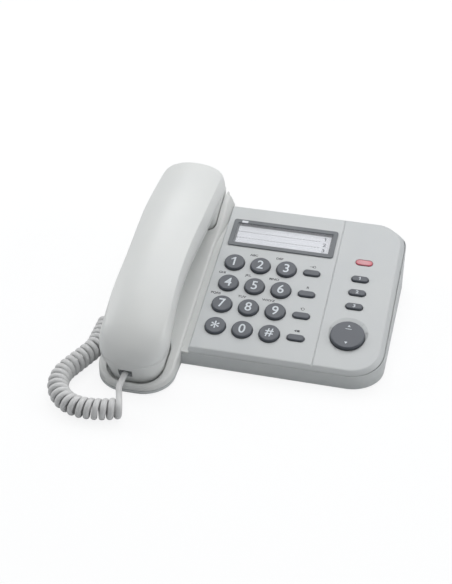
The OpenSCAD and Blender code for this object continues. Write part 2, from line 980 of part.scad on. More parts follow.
module volume_key() {
  color("dimgray")
    at_deck(volume_at)
      difference() {
        union() {
          translate([0, 0, flange_n])
            cylinder(h = volume_h - volume_rim - flange_n, d = volume_d);
          translate([0, 0, volume_h - volume_rim - eps])
            cylinder(h = volume_rim, d1 = volume_d, d2 = volume_d - 2*volume_rim);
          for (side = [-1, 1]) {
            translate([side*lug_x, 0, axle_n])
              rotate([0, 90, 0])
                cylinder(h = lug_t, r = lug_r, center = true);
            translate([side*lug_x - lug_t/2, -lug_r, axle_n])
              cube([lug_t, 2*lug_r, flange_n - axle_n + eps]);
            translate([0, side*volume_foot_v, dome_n + key_travel + run_gap])
              cylinder(h = flange_n - dome_n - key_travel - run_gap + eps, d = stem_d - 1);
          }
        }
        translate([0, 0, axle_n])
          rotate([0, 90, 0])
            cylinder(h = volume_d, d = axle_d + 2*axle_gap, center = true);
      }
}

module volume_axle() {
  color("silver")
    at_deck(volume_at, axle_n)
      rotate([0, 90, 0])
        cylinder(h = volume_d + 2*volume_gap + 2*bracket_gap + 2*lug_t, d = axle_d, center = true);
}

// ---- Number card ----

module card_frame() {
  floor_n = -card_seat - tray_floor_t;
  color("slategray")
    at_deck(frame_at)
      difference() {
        union() {
          linear_extrude(frame_h)
            round_plan(frame_w, frame_l, frame_r);
          translate([0, 0, floor_n])
            linear_extrude(-floor_n + eps)
              square([frame_w - 2*frame_lip - 2*run_gap, frame_l - 2*frame_lip - 2*run_gap], center = true);
        }
        translate([0, 0, -window_seat])
          linear_extrude(window_seat + frame_h + 1)
            square([window_w + 2*run_gap, window_l + 2*run_gap], center = true);
        translate([0, 0, -card_seat])
          linear_extrude(card_seat + 1)
            square([window_w - 2*card_step, window_l - 2*card_step], center = true);
      }
}

module number_card() {
  color("white")
    at_deck(frame_at, -card_seat)
      linear_extrude(card_t)
        square([window_w - 2*card_step - 0.4, window_l - 2*card_step - 0.4], center = true);
}

module card_window() {
  color("lightcyan", 0.4)
    at_deck(frame_at, -window_seat)
      linear_extrude(window_t)
        square([window_w, window_l], center = true);
}

// ---- Handset ----

// Half ring at y, closed along the line where the shells meet: half width a, reaching h above
// that line on side 1 or below it on side -1, its flat edge moved past the line by over
function hs_ring(y, a, h, side, over) =
  let (z = hs_part(y))
  concat(
    [for (i = [0:ring_sides])
      let (t = 180*i/ring_sides)
      [hs_x + side*a*power(cos(t), hs_round), y, z + side*(h*power(sin(t), hs_round) + seam/2)]],
    over > 0 ? [[hs_x - side*a, y, z - side*over], [hs_x + side*a, y, z - side*over]] : []
  );

// Solid through closed rings of equal count
module loft(rings) {
  m = len(rings[0]);
  last = len(rings) - 1;
  polyhedron(
    points = [for (r = rings) each r],
    faces = concat(
      [for (i = [1:m - 2]) [0, i + 1, i]],
      [for (k = [0:last - 1]) for (i = [0:m - 1]) for (f = [0, 1])
        let (a = k*m + i, b = k*m + (i + 1) % m)
        f == 0 ? [a, b, a + m] : [b, b + m, a + m]],
      [for (i = [1:m - 2]) [last*m, last*m + i, last*m + i + 1]]
    )
  );
}

function hs_station(i, inset) =
  let (y0 = -hs_front + inset, y1 = hs_rear - inset)
  y0 + (y1 - y0)*(1 - cos(180*i/stations))/2;

// Half of the handset's bar, inset from its surface, h high; side is 1 for the back, -1 for the face
module hs_bar(inset, h, side, over = 0) {
  loft([for (i = [0:stations])
    let (y = hs_station(i, inset))
    let (top = side > 0 ? h + hs_nose(y) : h)
    hs_ring(y, hs_half(y, inset) + 0.4, hs_fall(y, top, inset) + 0.2, side, over)]);
}

// A cup: its face on the deck's frame at depth sink, its root along the bar at y
module cup(sink, y, inset, root_drop) {
  hull() {
    intersection() {
      linear_extrude(big/4)
        children(0);
      on_deck()
        translate([-big/2, -big/2, -sink + inset])
          cube([big, big, 0.2]);
    }
    translate([hs_x, y, hs_part(y) - root_drop])
      rotate([hs_slope(y), 0, 0])
        linear_extrude(0.2)
          children(1);
  }
}

module mouth_cup(inset, root_drop) {
  root_w = hs_w - 1.6;
  root_l = mouth_l + 7;
  root_y = -hs_front + 0.8 + root_l/2;
  cup(mouth_sink, root_y, inset, root_drop) {
    mouth_plan(-inset);
    corner_plan(-root_w/2 + inset, root_w/2 - inset, -root_l/2 + inset, root_l/2 - inset,
                [hs_r_front - 1 - inset, hs_r_front - 1 - inset, mouth_r, mouth_r]);
  }
}

module ear_cup(inset, root_drop) {
  root_w = hs_w - 1.6;
  root_l = ear_l + 3.4;
  root_y = hs_rear - 0.8 - root_l/2;
  cup(ear_sink, root_y, inset, root_drop) {
    ear_plan(-inset);
    corner_plan(-root_w/2 + inset, root_w/2 - inset, -root_l/2 + inset, root_l/2 - inset,
                [ear_r, ear_r, hs_r_rear - 1 - inset, hs_r_rear - 1 - inset]);
  }
}

// Underside of the grip at a screw
function hs_belly(y) = hs_part(y) - hs_face_h;

module handset_back() {
  color("whitesmoke")
    difference() {
      union() {
        difference() {
          hs_bar(0, hs_back_h, 1);
          hs_bar(hs_wall, hs_back_h - hs_wall, 1, 1);
        }
        for (p = hs_screw_at)
          translate([p.x, p.y, hs_belly(p.y) + hs_pad_h + seam])
            cylinder(h = hs_face_h + hs_back_h - hs_pad_h - 1, d = boss_d);
      }
      for (p = hs_screw_at)
        translate([p.x, p.y, hs_belly(p.y)])
          cylinder(h = hs_pad_h + screw_l, d = screw_d + 2*screw_gap);
    }
}

module handset_face() {
  color("whitesmoke")
    difference() {
      union() {
        difference() {
          union() {
            hs_bar(0, hs_face_h, -1);
            mouth_cup(0, 1.5);
            ear_cup(0, 1.5);
          }
          hs_bar(hs_wall, hs_face_h - hs_wall, -1, 1);
          mouth_cup(hs_wall, 1);
          ear_cup(hs_wall, 1);
        }
        for (p = hs_screw_at)
          translate([p.x, p.y, hs_belly(p.y) + 0.5])
            cylinder(h = hs_pad_h - 0.5, d = boss_d + 2);
      }
      // Window of the jack
      translate([hs_plug_x - socket_w/2, -hs_front - 5, hs_plug_z - plug_h/2 - plug_gap])
        cube([socket_w, 12, plug_h + 2*plug_gap]);
      grille(ear_at, ear_sink, 2, 4.4, 2.2);
      grille(mouth_at, mouth_sink, 1, 3.6, 1.8);
      for (p = hs_screw_at)
        translate([p.x, p.y, hs_belly(p.y) - 1]) {
          cylinder(h = hs_pad_h + 2, d = screw_d + 2*screw_gap);
          cylinder(h = 1 + hs_pad_h/2, d = screw_head_d + 2*screw_gap);
        }
    }
}

// Round holes through a cup's face, in rings about a point of the deck's frame
module grille(p, sink, rings, pitch, d) {
  at_deck(p, -sink - 1)
    for (r = [0:rings])
      for (i = [0:max(0, 6*r - 1)])
        rotate([0, 0, r == 0 ? 0 : 60*i/r])
          translate([r*pitch, 0, 0])
            cylinder(h = hs_wall + 2, d = d, $fn = 24);
}

module ear_speaker() {
  color("dimgray")
    at_deck(ear_at, -ear_sink + hs_wall + run_gap) {
      cylinder(h = speaker_rim_h, d = speaker_d);
      cylinder(h = speaker_h, d = speaker_d*0.6);
    }
}

module microphone() {
  color("silver")
    at_deck(mouth_at, -mouth_sink + hs_wall + run_gap)
      cylinder(h = microphone_h, d = microphone_d);
}

module handset_weight() {
  color("slategray")
    translate([hs_x, weight_y, hs_part(weight_y) - hs_face_h + hs_wall + 0.8])
      rotate([hs_slope(weight_y), 0, 0])
        translate([-weight_size.x/2, -weight_size.y/2, 0])
          cube(weight_size);
}

module handset_jack() {
  color("dimgray")
    translate([hs_plug_x, hs_jack_y, hs_plug_z])
      rotate([0, 0, 180])
        socket_body(plug_w + 2*plug_gap, plug_h + 2*plug_gap, plug_l, jack_wall - 0.8, plug_l - 2);
}

module handset_screws() {
  color("silver")
    for (p = hs_screw_at)
      translate([p.x, p.y, hs_belly(p.y) + hs_pad_h/2 - screw_head_h])
        screw(screw_head_h, screw_l - 1);
}

// ---- Cord ----

// Plug with its mouth for the cord at the origin, reaching along y
module plug() {
  translate([-plug_w/2, 0, -plug_h/2])
    cube([plug_w, plug_l - 0.4, plug_h]);
}

module handset_plug() {
  color("lightcyan", 0.6)
    translate([hs_plug_x, hs_plug_y, hs_plug_z])
      plug();
}

module base_plug() {
  color("lightcyan", 0.6)
    translate([base_plug_x, jack_y, cord_z])
      rotate([0, 0, -90])
        plug();
}

// Place and heading of the coil's axis at distance s along it, as [x, y, heading]
function axis_step(at, length, turn) =
  turn == 0
    ? [at.x + length*cos(at.z), at.y + length*sin(at.z), at.z]
    : let (r = length/(turn*PI/180))
      [at.x + r*(sin(at.z + turn) - sin(at.z)), at.y - r*(cos(at.z + turn) - cos(at.z)), at.z + turn];
function axis_walk(at, s, k) =
  let (arc = coil_arcs[k], last = k == len(coil_arcs) - 1)
  s <= arc[0] || last
    ? axis_step(at, s, arc[1]*s/arc[0])
    : axis_walk(axis_step(at, arc[0], arc[1]), s - arc[0], k + 1);
function axis_at(s) = axis_walk([coil_start.x, coil_start.y, coil_heading], s, 0);

// Middle of the cord at turn t of the coil, which starts and ends at the top of a curl
function curl_point(t) =
  let (a = axis_at(t*curl_pitch), up = cos(360*t), side = sin(360*t))
  [a.x - curl_r*side*sin(a.z), a.y + curl_r*side*cos(a.z), coil_z + curl_r*up];
function unit(v) = v/norm(v);
function curl_heading(t) = unit(curl_point(t + 0.01) - curl_point(t - 0.01));

coil_first = curl_point(0) - cord_d*curl_heading(0);
coil_last = curl_point(turns) + cord_d*curl_heading(turns);

// Rings of a tube of diameter d along a line of points that stays nearly level
function line_heading(line, i) =
  unit(line[min(i + 1, len(line) - 1)] - line[max(i - 1, 0)]);
function tube_rings(line, d, n) =
  [for (i = [0:len(line) - 1])
    let (h = line_heading(line, i), u = unit(cross(h, [0, 0, 1])), w = cross(u, h))
    [for (k = [0:n - 1]) line[i] + d/2*(cos(360*k/n)*u + sin(360*k/n)*w)]];

// Rings of the coil, each turned to point away from the coil's axis
coil_rings = [for (i = [-1:turns*cord_rings + 1])
  let (
    t = min(turns, max(0, i/cord_rings)),
    a = axis_at(t*curl_pitch),
    c = i < 0 ? coil_first : i > turns*cord_rings ? coil_last : curl_point(t),
    u = unit(curl_point(t) - [a.x, a.y, coil_z]),
    w = unit(cross(u, curl_heading(t)))
  )
  [for (k = [0:cord_sides - 1])
    c + cord_d/2*(cos(360*k/cord_sides)*u + sin(360*k/cord_sides)*w)]];

// Least gap between neighbouring curls, between the rings' own points
curl_gaps = [for (i = [0:(turns - 1)*cord_rings])
  let (near = coil_rings[i + 1], far = coil_rings[i + 1 + cord_rings])
  min([for (p = near) for (q = far) norm(p - q)])];
echo(least_gap_between_curls = min(curl_gaps));

// Lines of the straight cords; each end runs straight, square to what it meets
end_run = 1.4*cord_d;
handset_line = concat(
  [[hs_plug_x, hs_plug_y, hs_plug_z], [hs_plug_x, hs_plug_y - end_run, hs_plug_z]],
  handset_route,
  [coil_first - end_run*curl_heading(0), coil_first]
);
base_line = concat(
  [coil_last, coil_last + cord_d*curl_heading(turns)],
  [for (p = base_route) [coil_end.x + p.x, coil_end.y + p.y, p.z]],
  [[base_plug_x - cord_d, jack_y, cord_z], [base_plug_x, jack_y, cord_z]]
);
function line_length(line) = len(line) < 2 ? 0
  : norm(line[1] - line[0]) + line_length([for (i = [1:len(line) - 1]) line[i]]);
echo(cord_length = turns*norm([curl_pitch, 2*PI*curl_r]) + 2*cord_d
     + line_length(handset_line) + line_length(base_line));

module curly_cord() {
  color("gainsboro")
    loft(coil_rings);
}

module handset_lead() {
  color("gainsboro")
    loft(tube_rings(handset_line, cord_d, lead_sides));
}

module base_lead() {
  color("gainsboro")
    loft(tube_rings(base_line, cord_d, lead_sides));
}

// ---- Assembly ----

bottom_case();
top_cover();
case_screws();
rubber_feet();
wall_tab();
card_frame();
number_card();
card_window();
lamp_lens();
lamp_led();
key_board();
keypad_mat();
side_mat();
main_board();
board_screws();
ringer();
ballast();
line_jack();
cord_jack();
hook_switch();
hook_spring();
hook_plunger();
volume_key();
volume_axle();
for (i = [0:len(dial_names) - 1])
  dial_key(i);
for (i = [1:4])
  pill_key([function_x, key_first.y + (i - 1)*key_py]);
for (i = [1:3])
  pill_key([memory_first.x, memory_first.y - (i - 1)*memory_pitch]);
handset_back();
handset_face();
ear_speaker();
microphone();
handset_weight();
handset_jack();
handset_screws();
handset_plug();
handset_lead();
curly_cord();
base_lead();
base_plug();
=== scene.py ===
import math

import bmesh
import bpy
from mathutils import Matrix, Vector


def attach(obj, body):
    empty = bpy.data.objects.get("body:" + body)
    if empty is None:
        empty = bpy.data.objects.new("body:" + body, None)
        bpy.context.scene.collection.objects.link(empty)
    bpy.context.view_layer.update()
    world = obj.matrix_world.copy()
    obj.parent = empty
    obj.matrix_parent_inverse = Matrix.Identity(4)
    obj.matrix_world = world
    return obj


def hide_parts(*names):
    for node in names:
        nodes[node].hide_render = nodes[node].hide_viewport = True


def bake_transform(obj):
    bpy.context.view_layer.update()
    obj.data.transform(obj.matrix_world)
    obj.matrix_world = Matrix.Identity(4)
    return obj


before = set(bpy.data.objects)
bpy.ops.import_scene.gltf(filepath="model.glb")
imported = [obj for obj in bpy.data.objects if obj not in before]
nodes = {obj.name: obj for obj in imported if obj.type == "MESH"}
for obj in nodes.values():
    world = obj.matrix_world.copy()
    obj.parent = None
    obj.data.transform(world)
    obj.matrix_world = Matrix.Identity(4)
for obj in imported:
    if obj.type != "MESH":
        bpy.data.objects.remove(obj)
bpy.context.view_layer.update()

# Sizes are in millimetres; MM makes them metres
MM = 0.001
TILT = math.radians(11.57)
SLOPE = math.tan(TILT)
DECK_Z = 27.0
DECK = Matrix.Translation((0, 0, DECK_Z * MM)) @ Matrix.Rotation(TILT, 4, "X")

# Places on the deck: x, and v along its slope
COLUMNS = [-24.5, -4.84, 14.82]
ROWS = [-36.4, -15.65, 5.1, 25.85]
FUNCTION_X = 33.8
MEMORIES = [(69.6, 26.4), (69.6, 13.1), (69.6, -0.2)]
LAMP = (70.0, 43.4)
VOLUME = (69.4, -28.4)
CARD_X, CARD_V = 6.05, 56.9

# The handset's middle
HS_X = -70.75

# Keys and lamp: radii, or lengths and widths, with heights over the deck
HOLE_LOW, HOLE_HIGH, FINE_SIDES = -5, 5, 96
KEY_FOOT = -2.4
KEY_R, KEY_HOLE_R, KEY_TOP, KEY_EDGE, KEY_SIDES = 7.4, 7.75, 2.2, 1.0, 72
PILL_L, PILL_W, PILL_TOP, PILL_EDGE = 12.4, 5.4, 1.5, 0.8
PILL_HOLE_L, PILL_HOLE_W = 13.1, 6.1
VOLUME_R, VOLUME_HOLE_R, VOLUME_TOP, VOLUME_EDGE = 12.2, 12.5, 3.0, 1.0
DISH_OFF, DISH_FLOOR, DISH_RIM, DISH_R, DISH_RIM_R = 3.5, -1.3, 0.02, 11.2, 14.2
LAMP_L, LAMP_W, LAMP_FOOT, LAMP_TOP, LAMP_EDGE = 12.5, 4.9, -2.6, 0.5, 0.45
# Half length and width over which the lamp lens's colour runs from its paler middle to its rim
LAMP_PALE_MIDDLE = (6.4, 2.6)

# Number card and its frame's hole, as half lengths and widths
CARD_HALF, CARD_LOW, CARD_TOP = (35.6, 9.1), -1.88, -1.5
FRAME_HALF = (38.7, 12.1)


# ---- Hand tools ----

def deselect():
    if bpy.context.object and bpy.context.object.mode != "OBJECT":
        bpy.ops.object.mode_set(mode="OBJECT")
    bpy.ops.object.select_all(action="DESELECT")


def take(o):
    deselect()
    o.select_set(True)
    bpy.context.view_layer.objects.active = o
    return o


def named(name):
    """Names the newest object and its mesh."""
    o = bpy.context.object
    o.name = name
    o.data.name = name
    return o


def settle(o):
    """Puts the object's place, turn and size into its mesh."""
    take(o)
    bpy.ops.object.transform_apply(location=True, rotation=True, scale=True)
    return o


def block(name, low, high):
    deselect()
    low, high = Vector(low) * MM, Vector(high) * MM
    bpy.ops.mesh.primitive_cube_add(size=1, location=(low + high) / 2)
    o = named(name)
    o.scale = high - low
    return settle(o)


def disc(name, x, y, z0, z1, radius, sides=64, top=None):
    deselect()
    bpy.ops.mesh.primitive_cone_add(vertices=sides, radius1=radius * MM,
                                    radius2=(radius if top is None else top) * MM,
                                    depth=(z1 - z0) * MM,
                                    location=(x * MM, y * MM, (z0 + z1) / 2 * MM))
    return settle(named(name))


def pick(o, kind, test):
    """Selects the edges or faces that pass the test, in edit mode."""
    take(o)
    bpy.ops.object.mode_set(mode="EDIT")
    bpy.ops.mesh.select_mode(type=kind)
    bpy.ops.mesh.select_all(action="DESELECT")
    bm = bmesh.from_edit_mesh(o.data)
    for e in {"EDGE": bm.edges, "FACE": bm.faces}[kind]:
        if test(e):
            e.select_set(True)
    bmesh.update_edit_mesh(o.data)


def done():
    bpy.ops.object.mode_set(mode="OBJECT")


def upright(e):
    a, b = e.verts
    return abs(a.co.z - b.co.z) > 0.8 * (a.co - b.co).length


def rounded(o, test, width, segments=4):
    """Rounds the edges that pass the test, width in millimetres."""
    pick(o, "EDGE", test)
    bpy.ops.mesh.bevel(offset=width * MM, offset_type="OFFSET", segments=segments,
                       profile=0.5, affect="EDGES", clamp_overlap=False)
    done()
    return o


def top_rim(z):
    """Edges that lie at height z and have one side facing up."""
    def test(e):
        return (all(abs(v.co.z - z * MM) < 0.00002 for v in e.verts)
                and any(f.normal.z < 0.9 for f in e.link_faces))
    return test


def oblong(name, x, v, z0, z1, length, width):
    """A bar with fully round ends."""
    o = block(name, (x - length / 2, v - width / 2, z0), (x + length / 2, v + width / 2, z1))
    return rounded(o, upright, width / 2 - 0.001, 10)


def bisected(o, at, normal, **drop):
    """New edges along a plane; with clear_outer or clear_inner, that side goes and the cut is closed."""
    pick(o, "FACE", lambda f: True)
    bpy.ops.mesh.bisect(plane_co=at, plane_no=normal, use_fill=bool(drop), **drop)
    done()
    return o


def slices(o, axis, places):
    """Extra edges across the piece at the given places."""
    for place in places:
        at, normal = Vector(), Vector()
        at[axis], normal[axis] = place * MM, 1
        bisected(o, at, normal)
    return o


def modify(o, kind, **settings):
    take(o)
    m = o.modifiers.new(kind, kind)
    for key, value in settings.items():
        setattr(m, key, value)
    bpy.ops.object.modifier_apply(modifier=m.name)
    return o


def cut(o, tool):
    modify(o, "BOOLEAN", object=tool, operation="DIFFERENCE", solver="MANIFOLD")
    bpy.data.objects.remove(tool)
    return o


def cut_all(o, tools):
    for tool in tools:
        cut(o, tool)
    return o


def smooth(o, width=0.0, segments=3, angle=30, plain=25.0):
    """Breaks the sharp edges by a small width and shades smooth, save large and many-sided faces."""
    if width:
        modify(o, "BEVEL", width=width * MM, segments=segments, limit_method="ANGLE",
               angle_limit=math.radians(angle), use_clamp_overlap=False, harden_normals=False)
    take(o)
    bpy.ops.object.shade_smooth()
    for f in o.data.polygons:
        if len(f.vertices) > 4 or f.area > plain * MM * MM:
            f.use_smooth = False
    return o


def sheer(o, angle):
    """Shades the piece smooth, save over edges sharper than the angle."""
    take(o)
    bpy.ops.object.shade_smooth_by_angle(angle=math.radians(angle))
    return o


def to_deck(o):
    """Lays a piece made flat onto the deck's slope."""
    o.matrix_world = DECK @ o.matrix_world
    return settle(o)


def joined(name, parts):
    deselect()
    for p in parts:
        p.select_set(True)
    bpy.context.view_layer.objects.active = parts[0]
    if len(parts) > 1:
        bpy.ops.object.join()
    return named(name)


def copy_of(node, name):
    """A copy of a CAD node with its loose triangles merged and its flat faces made whole."""
    src = nodes[node]
    deselect()
    o = bpy.data.objects.new(name, src.data.copy())
    bpy.context.scene.collection.objects.link(o)
    o.data.name = name
    o.data.materials.clear()
    take(o)
    bpy.ops.mesh.customdata_custom_splitnormals_clear()
    bpy.ops.object.mode_set(mode="EDIT")
    bpy.ops.mesh.select_all(action="SELECT")
    bpy.ops.mesh.remove_doubles(threshold=0.000002)
    bpy.ops.mesh.dissolve_limited(angle_limit=math.radians(0.6))
    done()
    return o


def skin(name, rings):
    """A closed skin over rings of points in millimetres, each with the same count."""
    bm = bmesh.new()
    loops = [[bm.verts.new(Vector(p) * MM) for p in r] for r in rings]
    count = len(rings[0])
    for a, b in zip(loops, loops[1:]):
        for i in range(count):
            j = (i + 1) % count
            bm.faces.new((a[i], a[j], b[j], b[i]))
    bm.faces.new(list(reversed(loops[0])))
    bm.faces.new(loops[-1])
    bmesh.ops.recalc_face_normals(bm, faces=bm.faces)
    mesh = bpy.data.meshes.new(name)
    bm.to_mesh(mesh)
    bm.free()
    o = bpy.data.objects.new(name, mesh)
    bpy.context.scene.collection.objects.link(o)
    take(o)
    bpy.ops.object.shade_smooth()
    return o


def ease(t):
    """A soft step from 0 to 1."""
    t = min(1.0, max(0.0, t))
    return t * t * (3 - 2 * t)


def edge_drop(d, r):
    """How far a quarter circle of radius r has fallen at distance d from its end."""
    return 0.0 if d >= r else r - math.sqrt(max(0.0, r * r - (r - d) ** 2))


# ---- Camera ----

# Angles in degrees, aim and distance in metres, and the lens from its focal length in pixels
AZIMUTH, ELEVATION, ROLL = map(math.radians, (13.66, 37.6, -0.26))
AIM, DISTANCE = Vector((-0.0324, 0.0299, 0)), 0.94224
SENSOR, FOCAL_PIXELS, IMAGE_HEIGHT = 36, 1230, 584
back = Vector((math.sin(AZIMUTH) * math.cos(ELEVATION),
               -math.cos(AZIMUTH) * math.cos(ELEVATION),
               math.sin(ELEVATION)))
side = Vector((math.cos(AZIMUTH), math.sin(AZIMUTH), 0))
above = back.cross(side)
right = math.cos(ROLL) * side + math.sin(ROLL) * above
above = -math.sin(ROLL) * side + math.cos(ROLL) * above
eye = AIM + DISTANCE * back
bpy.ops.object.camera_add()
camera = bpy.context.object
camera.name = "photo_camera"
camera.matrix_world = Matrix((
    (right.x, above.x, back.x, eye.x),
    (right.y, above.y, back.y, eye.y),
    (right.z, above.z, back.z, eye.z),
    (0, 0, 0, 1)))
camera.data.lens = SENSOR * FOCAL_PIXELS / IMAGE_HEIGHT
camera.data.sensor_width = SENSOR
camera.data.clip_start, camera.data.clip_end = 0.01, 20
bpy.context.scene.camera = camera


# ---- Curly cord ----

# The coil's axis runs level, from its start and heading, along arcs of a length and a turn in degrees;
# the leads run through listed points, those of the base as distances from the coil's end
TURNS, PITCH, CURL_R, CORD_T = 26.75, 5.0, 5.9, 3.2
HALF_THICK, HALF_WIDE = 1.6, 2.15
COIL_START, COIL_HEADING = (-70.0, -120.5), 205.7
COIL_ARCS = [(25.5, -27.35), (49.8, -112.05), (24.6, 0), (8, 23.7), (60, 0)]
COIL_Z = CURL_R + CORD_T / 2
PLUG_AT = Vector((HS_X - 3, -94.0, 15.4))
HANDSET_ROUTE = [(-73.75, -103.6, 15.4), (-73.75, -108.6, 15.1)]
BASE_ROUTE = [(5.6, 2.6, 16), (4.9, 5.4, 17), (3.4, 8.8, 16.6), (1.4, 12.2, 15.2),
              (-0.4, 15.4, 13.6), (-1.2, 18.4, 12.5), (-0.3, 20.8, 12.1)]
BASE_JACK_X, BASE_JACK_BEHIND, BASE_JACK_Z = -100.6, 22, 12
TURN_STEPS, LEAD_STEPS, CORD_SIDES = 28, 5, 14


def axis_step(x, y, heading, length, turn):
    """Where the coil's axis gets to along one arc or straight, and its heading there."""
    a = math.radians(heading)
    if not turn:
        return x + length * math.cos(a), y + length * math.sin(a), heading
    r = length / math.radians(turn)
    b = math.radians(heading + turn)
    return x + r * (math.sin(b) - math.sin(a)), y - r * (math.cos(b) - math.cos(a)), heading + turn


def axis_at(s):
    """Place and heading of the coil's axis after a length s."""
    x, y, heading = COIL_START[0], COIL_START[1], COIL_HEADING
    for k, (length, turn) in enumerate(COIL_ARCS):
        if s <= length or k == len(COIL_ARCS) - 1:
            return axis_step(x, y, heading, s, turn * s / length)
        x, y, heading = axis_step(x, y, heading, length, turn)
        s -= length


def curl_point(t):
    """A point of the coil after t turns."""
    x, y, heading = axis_at(t * PITCH)
    a, turn = math.radians(heading), 2 * math.pi * t
    return Vector((x - CURL_R * math.sin(turn) * math.sin(a),
                   y + CURL_R * math.sin(turn) * math.cos(a),
                   COIL_Z + CURL_R * math.cos(turn)))


def curl_heading(t):
    return (curl_point(t + 0.01) - curl_point(t - 0.01)).normalized()


def through(points):
    """Points on a smooth line through the given ones."""
    made = []
    for i in range(len(points) - 1):
        p0, p1 = points[max(i - 1, 0)], points[i]
        p2, p3 = points[i + 1], points[min(i + 2, len(points) - 1)]
        for k in range(LEAD_STEPS):
            t = k / LEAD_STEPS
            made.append(0.5 * (2 * p1 + (p2 - p0) * t + (2 * p0 - 5 * p1 + 4 * p2 - p3) * t * t
                               + (3 * p1 - p0 - 3 * p2 + p3) * t ** 3))
    return made + [points[-1]]


END_RUN = 1.4 * CORD_T
first = curl_point(0) - CORD_T * curl_heading(0)
last = curl_point(TURNS) + CORD_T * curl_heading(TURNS)
coil_end = axis_at(TURNS * PITCH)
BASE_PLUG = Vector((BASE_JACK_X, coil_end[1] + BASE_JACK_BEHIND, BASE_JACK_Z))
handset_line = [PLUG_AT, PLUG_AT - Vector((0, END_RUN, 0)), *map(Vector, HANDSET_ROUTE),
                first - END_RUN * curl_heading(0), first]
base_line = [last, last + CORD_T * curl_heading(TURNS),
             *[Vector((coil_end[0] + x, coil_end[1] + y, z)) for x, y, z in BASE_ROUTE],
             BASE_PLUG - Vector((CORD_T, 0, 0)), BASE_PLUG]
coil_points = [curl_point(i / TURN_STEPS) for i in range(int(TURNS * TURN_STEPS) + 1)]
front_points = through(handset_line)
rear_points = through(base_line)


def cord_rings():
    """Oval sections: thin away from the coil's axis, wide along it, and carried along the leads."""
    rings, spans = [], []
    for i, p in enumerate(coil_points):
        t = i / TURN_STEPS
        x, y, _ = axis_at(t * PITCH)
        u = (p - Vector((x, y, COIL_Z))).normalized()
        spans.append((p, u, curl_heading(t)))

    def carried(points, u):
        made = []
        for i, p in enumerate(points):
            h = (points[min(i + 1, len(points) - 1)] - points[max(i - 1, 0)]).normalized()
            u = (u - u.dot(h) * h).normalized()
            made.append((p, u, h))
        return made

    fore = [(p, u, -h) for p, u, h in carried(list(reversed(front_points)), spans[0][1])]
    aft = carried(rear_points, spans[-1][1])
    for p, u, h in list(reversed(fore)) + spans + aft:
        w = u.cross(h).normalized()
        rings.append([p + HALF_THICK * math.cos(a) * u + HALF_WIDE * math.sin(a) * w
                      for a in (2 * math.pi * k / CORD_SIDES for k in range(CORD_SIDES))])
    return rings


cord = skin("curly_cord_skin", cord_rings())
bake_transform(cord)
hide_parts("curly_cord", "handset_lead", "base_lead")


# ---- Materials ----

def shader(name, colour, rough, metal=0.0):
    m = bpy.data.materials.new(name)
    m.use_nodes = True
    b = m.node_tree.nodes["Principled BSDF"]
    b.inputs["Base Color"].default_value = (*colour, 1)
    b.inputs["Roughness"].default_value = rough
    b.inputs["Metallic"].default_value = metal
    return m, m.node_tree, b


def noise(tree, scale, detail, rough=0.5, stretch=(1, 1, 1)):
    coord = tree.nodes.new("ShaderNodeTexCoord")
    place = tree.nodes.new("ShaderNodeMapping")
    place.inputs["Scale"].default_value = stretch
    n = tree.nodes.new("ShaderNodeTexNoise")
    n.inputs["Scale"].default_value = scale
    n.inputs["Detail"].default_value = detail
    n.inputs["Roughness"].default_value = rough
    tree.links.new(coord.outputs["Object"], place.inputs["Vector"])
    tree.links.new(place.outputs["Vector"], n.inputs["Vector"])
    return n


def ramp(tree, factor, stops):
    r = tree.nodes.new("ShaderNodeValToRGB")
    while len(r.color_ramp.elements) < len(stops):
        r.color_ramp.elements.new(0.5)
    for e, (at, colour) in zip(r.color_ramp.elements, stops):
        e.position = at
        e.color = (*colour, 1)
    tree.links.new(factor, r.inputs["Fac"])
    return r


def shade(colour, k):
    return tuple(min(1.0, c * k) for c in colour)


def grey_ramp(tree, factor, low, high):
    """A plain value that runs from low to high, as (place, value) stops."""
    return ramp(tree, factor, [(at, (value,) * 3) for at, value in (low, high)])


def textured(tree, b, height, strength):
    """Lets a noise raise the surface by a small part of a millimetre."""
    bumps = tree.nodes.new("ShaderNodeBump")
    bumps.inputs["Strength"].default_value = strength
    bumps.inputs["Distance"].default_value = 0.00005
    tree.links.new(height.outputs["Fac"], bumps.inputs["Height"])
    tree.links.new(bumps.outputs["Normal"], b.inputs["Normal"])


def moulded(name, colour, rough, grain=2600, bump=0.05, mottle=0.02, scale=22, spread=0.08, warm=0.0):
    """Moulded plastic: a fine texture, a faint clouding of colour and gloss that varies a little."""
    m, tree, b = shader(name, colour, rough)
    cloud = noise(tree, scale, 4, 0.55)
    light = tuple(min(1.0, c * (1 + mottle) + w) for c, w in zip(colour, (warm, warm * 0.6, -warm)))
    r = ramp(tree, cloud.outputs["Fac"], [(0.34, shade(colour, 1 - mottle)), (0.66, light)])
    tree.links.new(r.outputs["Color"], b.inputs["Base Color"])
    smear = noise(tree, scale * 4, 5, 0.6, (1, 0.35, 1))
    gloss = grey_ramp(tree, smear.outputs["Fac"], (0.3, rough - spread / 2), (0.7, rough + spread / 2))
    tree.links.new(gloss.outputs["Color"], b.inputs["Roughness"])
    textured(tree, b, noise(tree, grain, 2), bump)
    return m


def ink(name, colour):
    m, tree, b = shader(name, colour, 0.55)
    speck = noise(tree, 3000, 2)
    r = ramp(tree, speck.outputs["Fac"], [(0.3, shade(colour, 0.92)), (0.7, shade(colour, 1.06))])
    tree.links.new(r.outputs["Color"], b.inputs["Base Color"])
    return m


def steel(name, colour, rough, stretch):
    """Drawn steel: fine lines of gloss, across the axis that has the largest scale."""
    m, tree, b = shader(name, colour, rough, 1.0)
    lines = noise(tree, 900, 3, 0.6, stretch)
    r = grey_ramp(tree, lines.outputs["Fac"], (0.25, rough - 0.08), (0.75, rough + 0.12))
    tree.links.new(r.outputs["Color"], b.inputs["Roughness"])
    return m


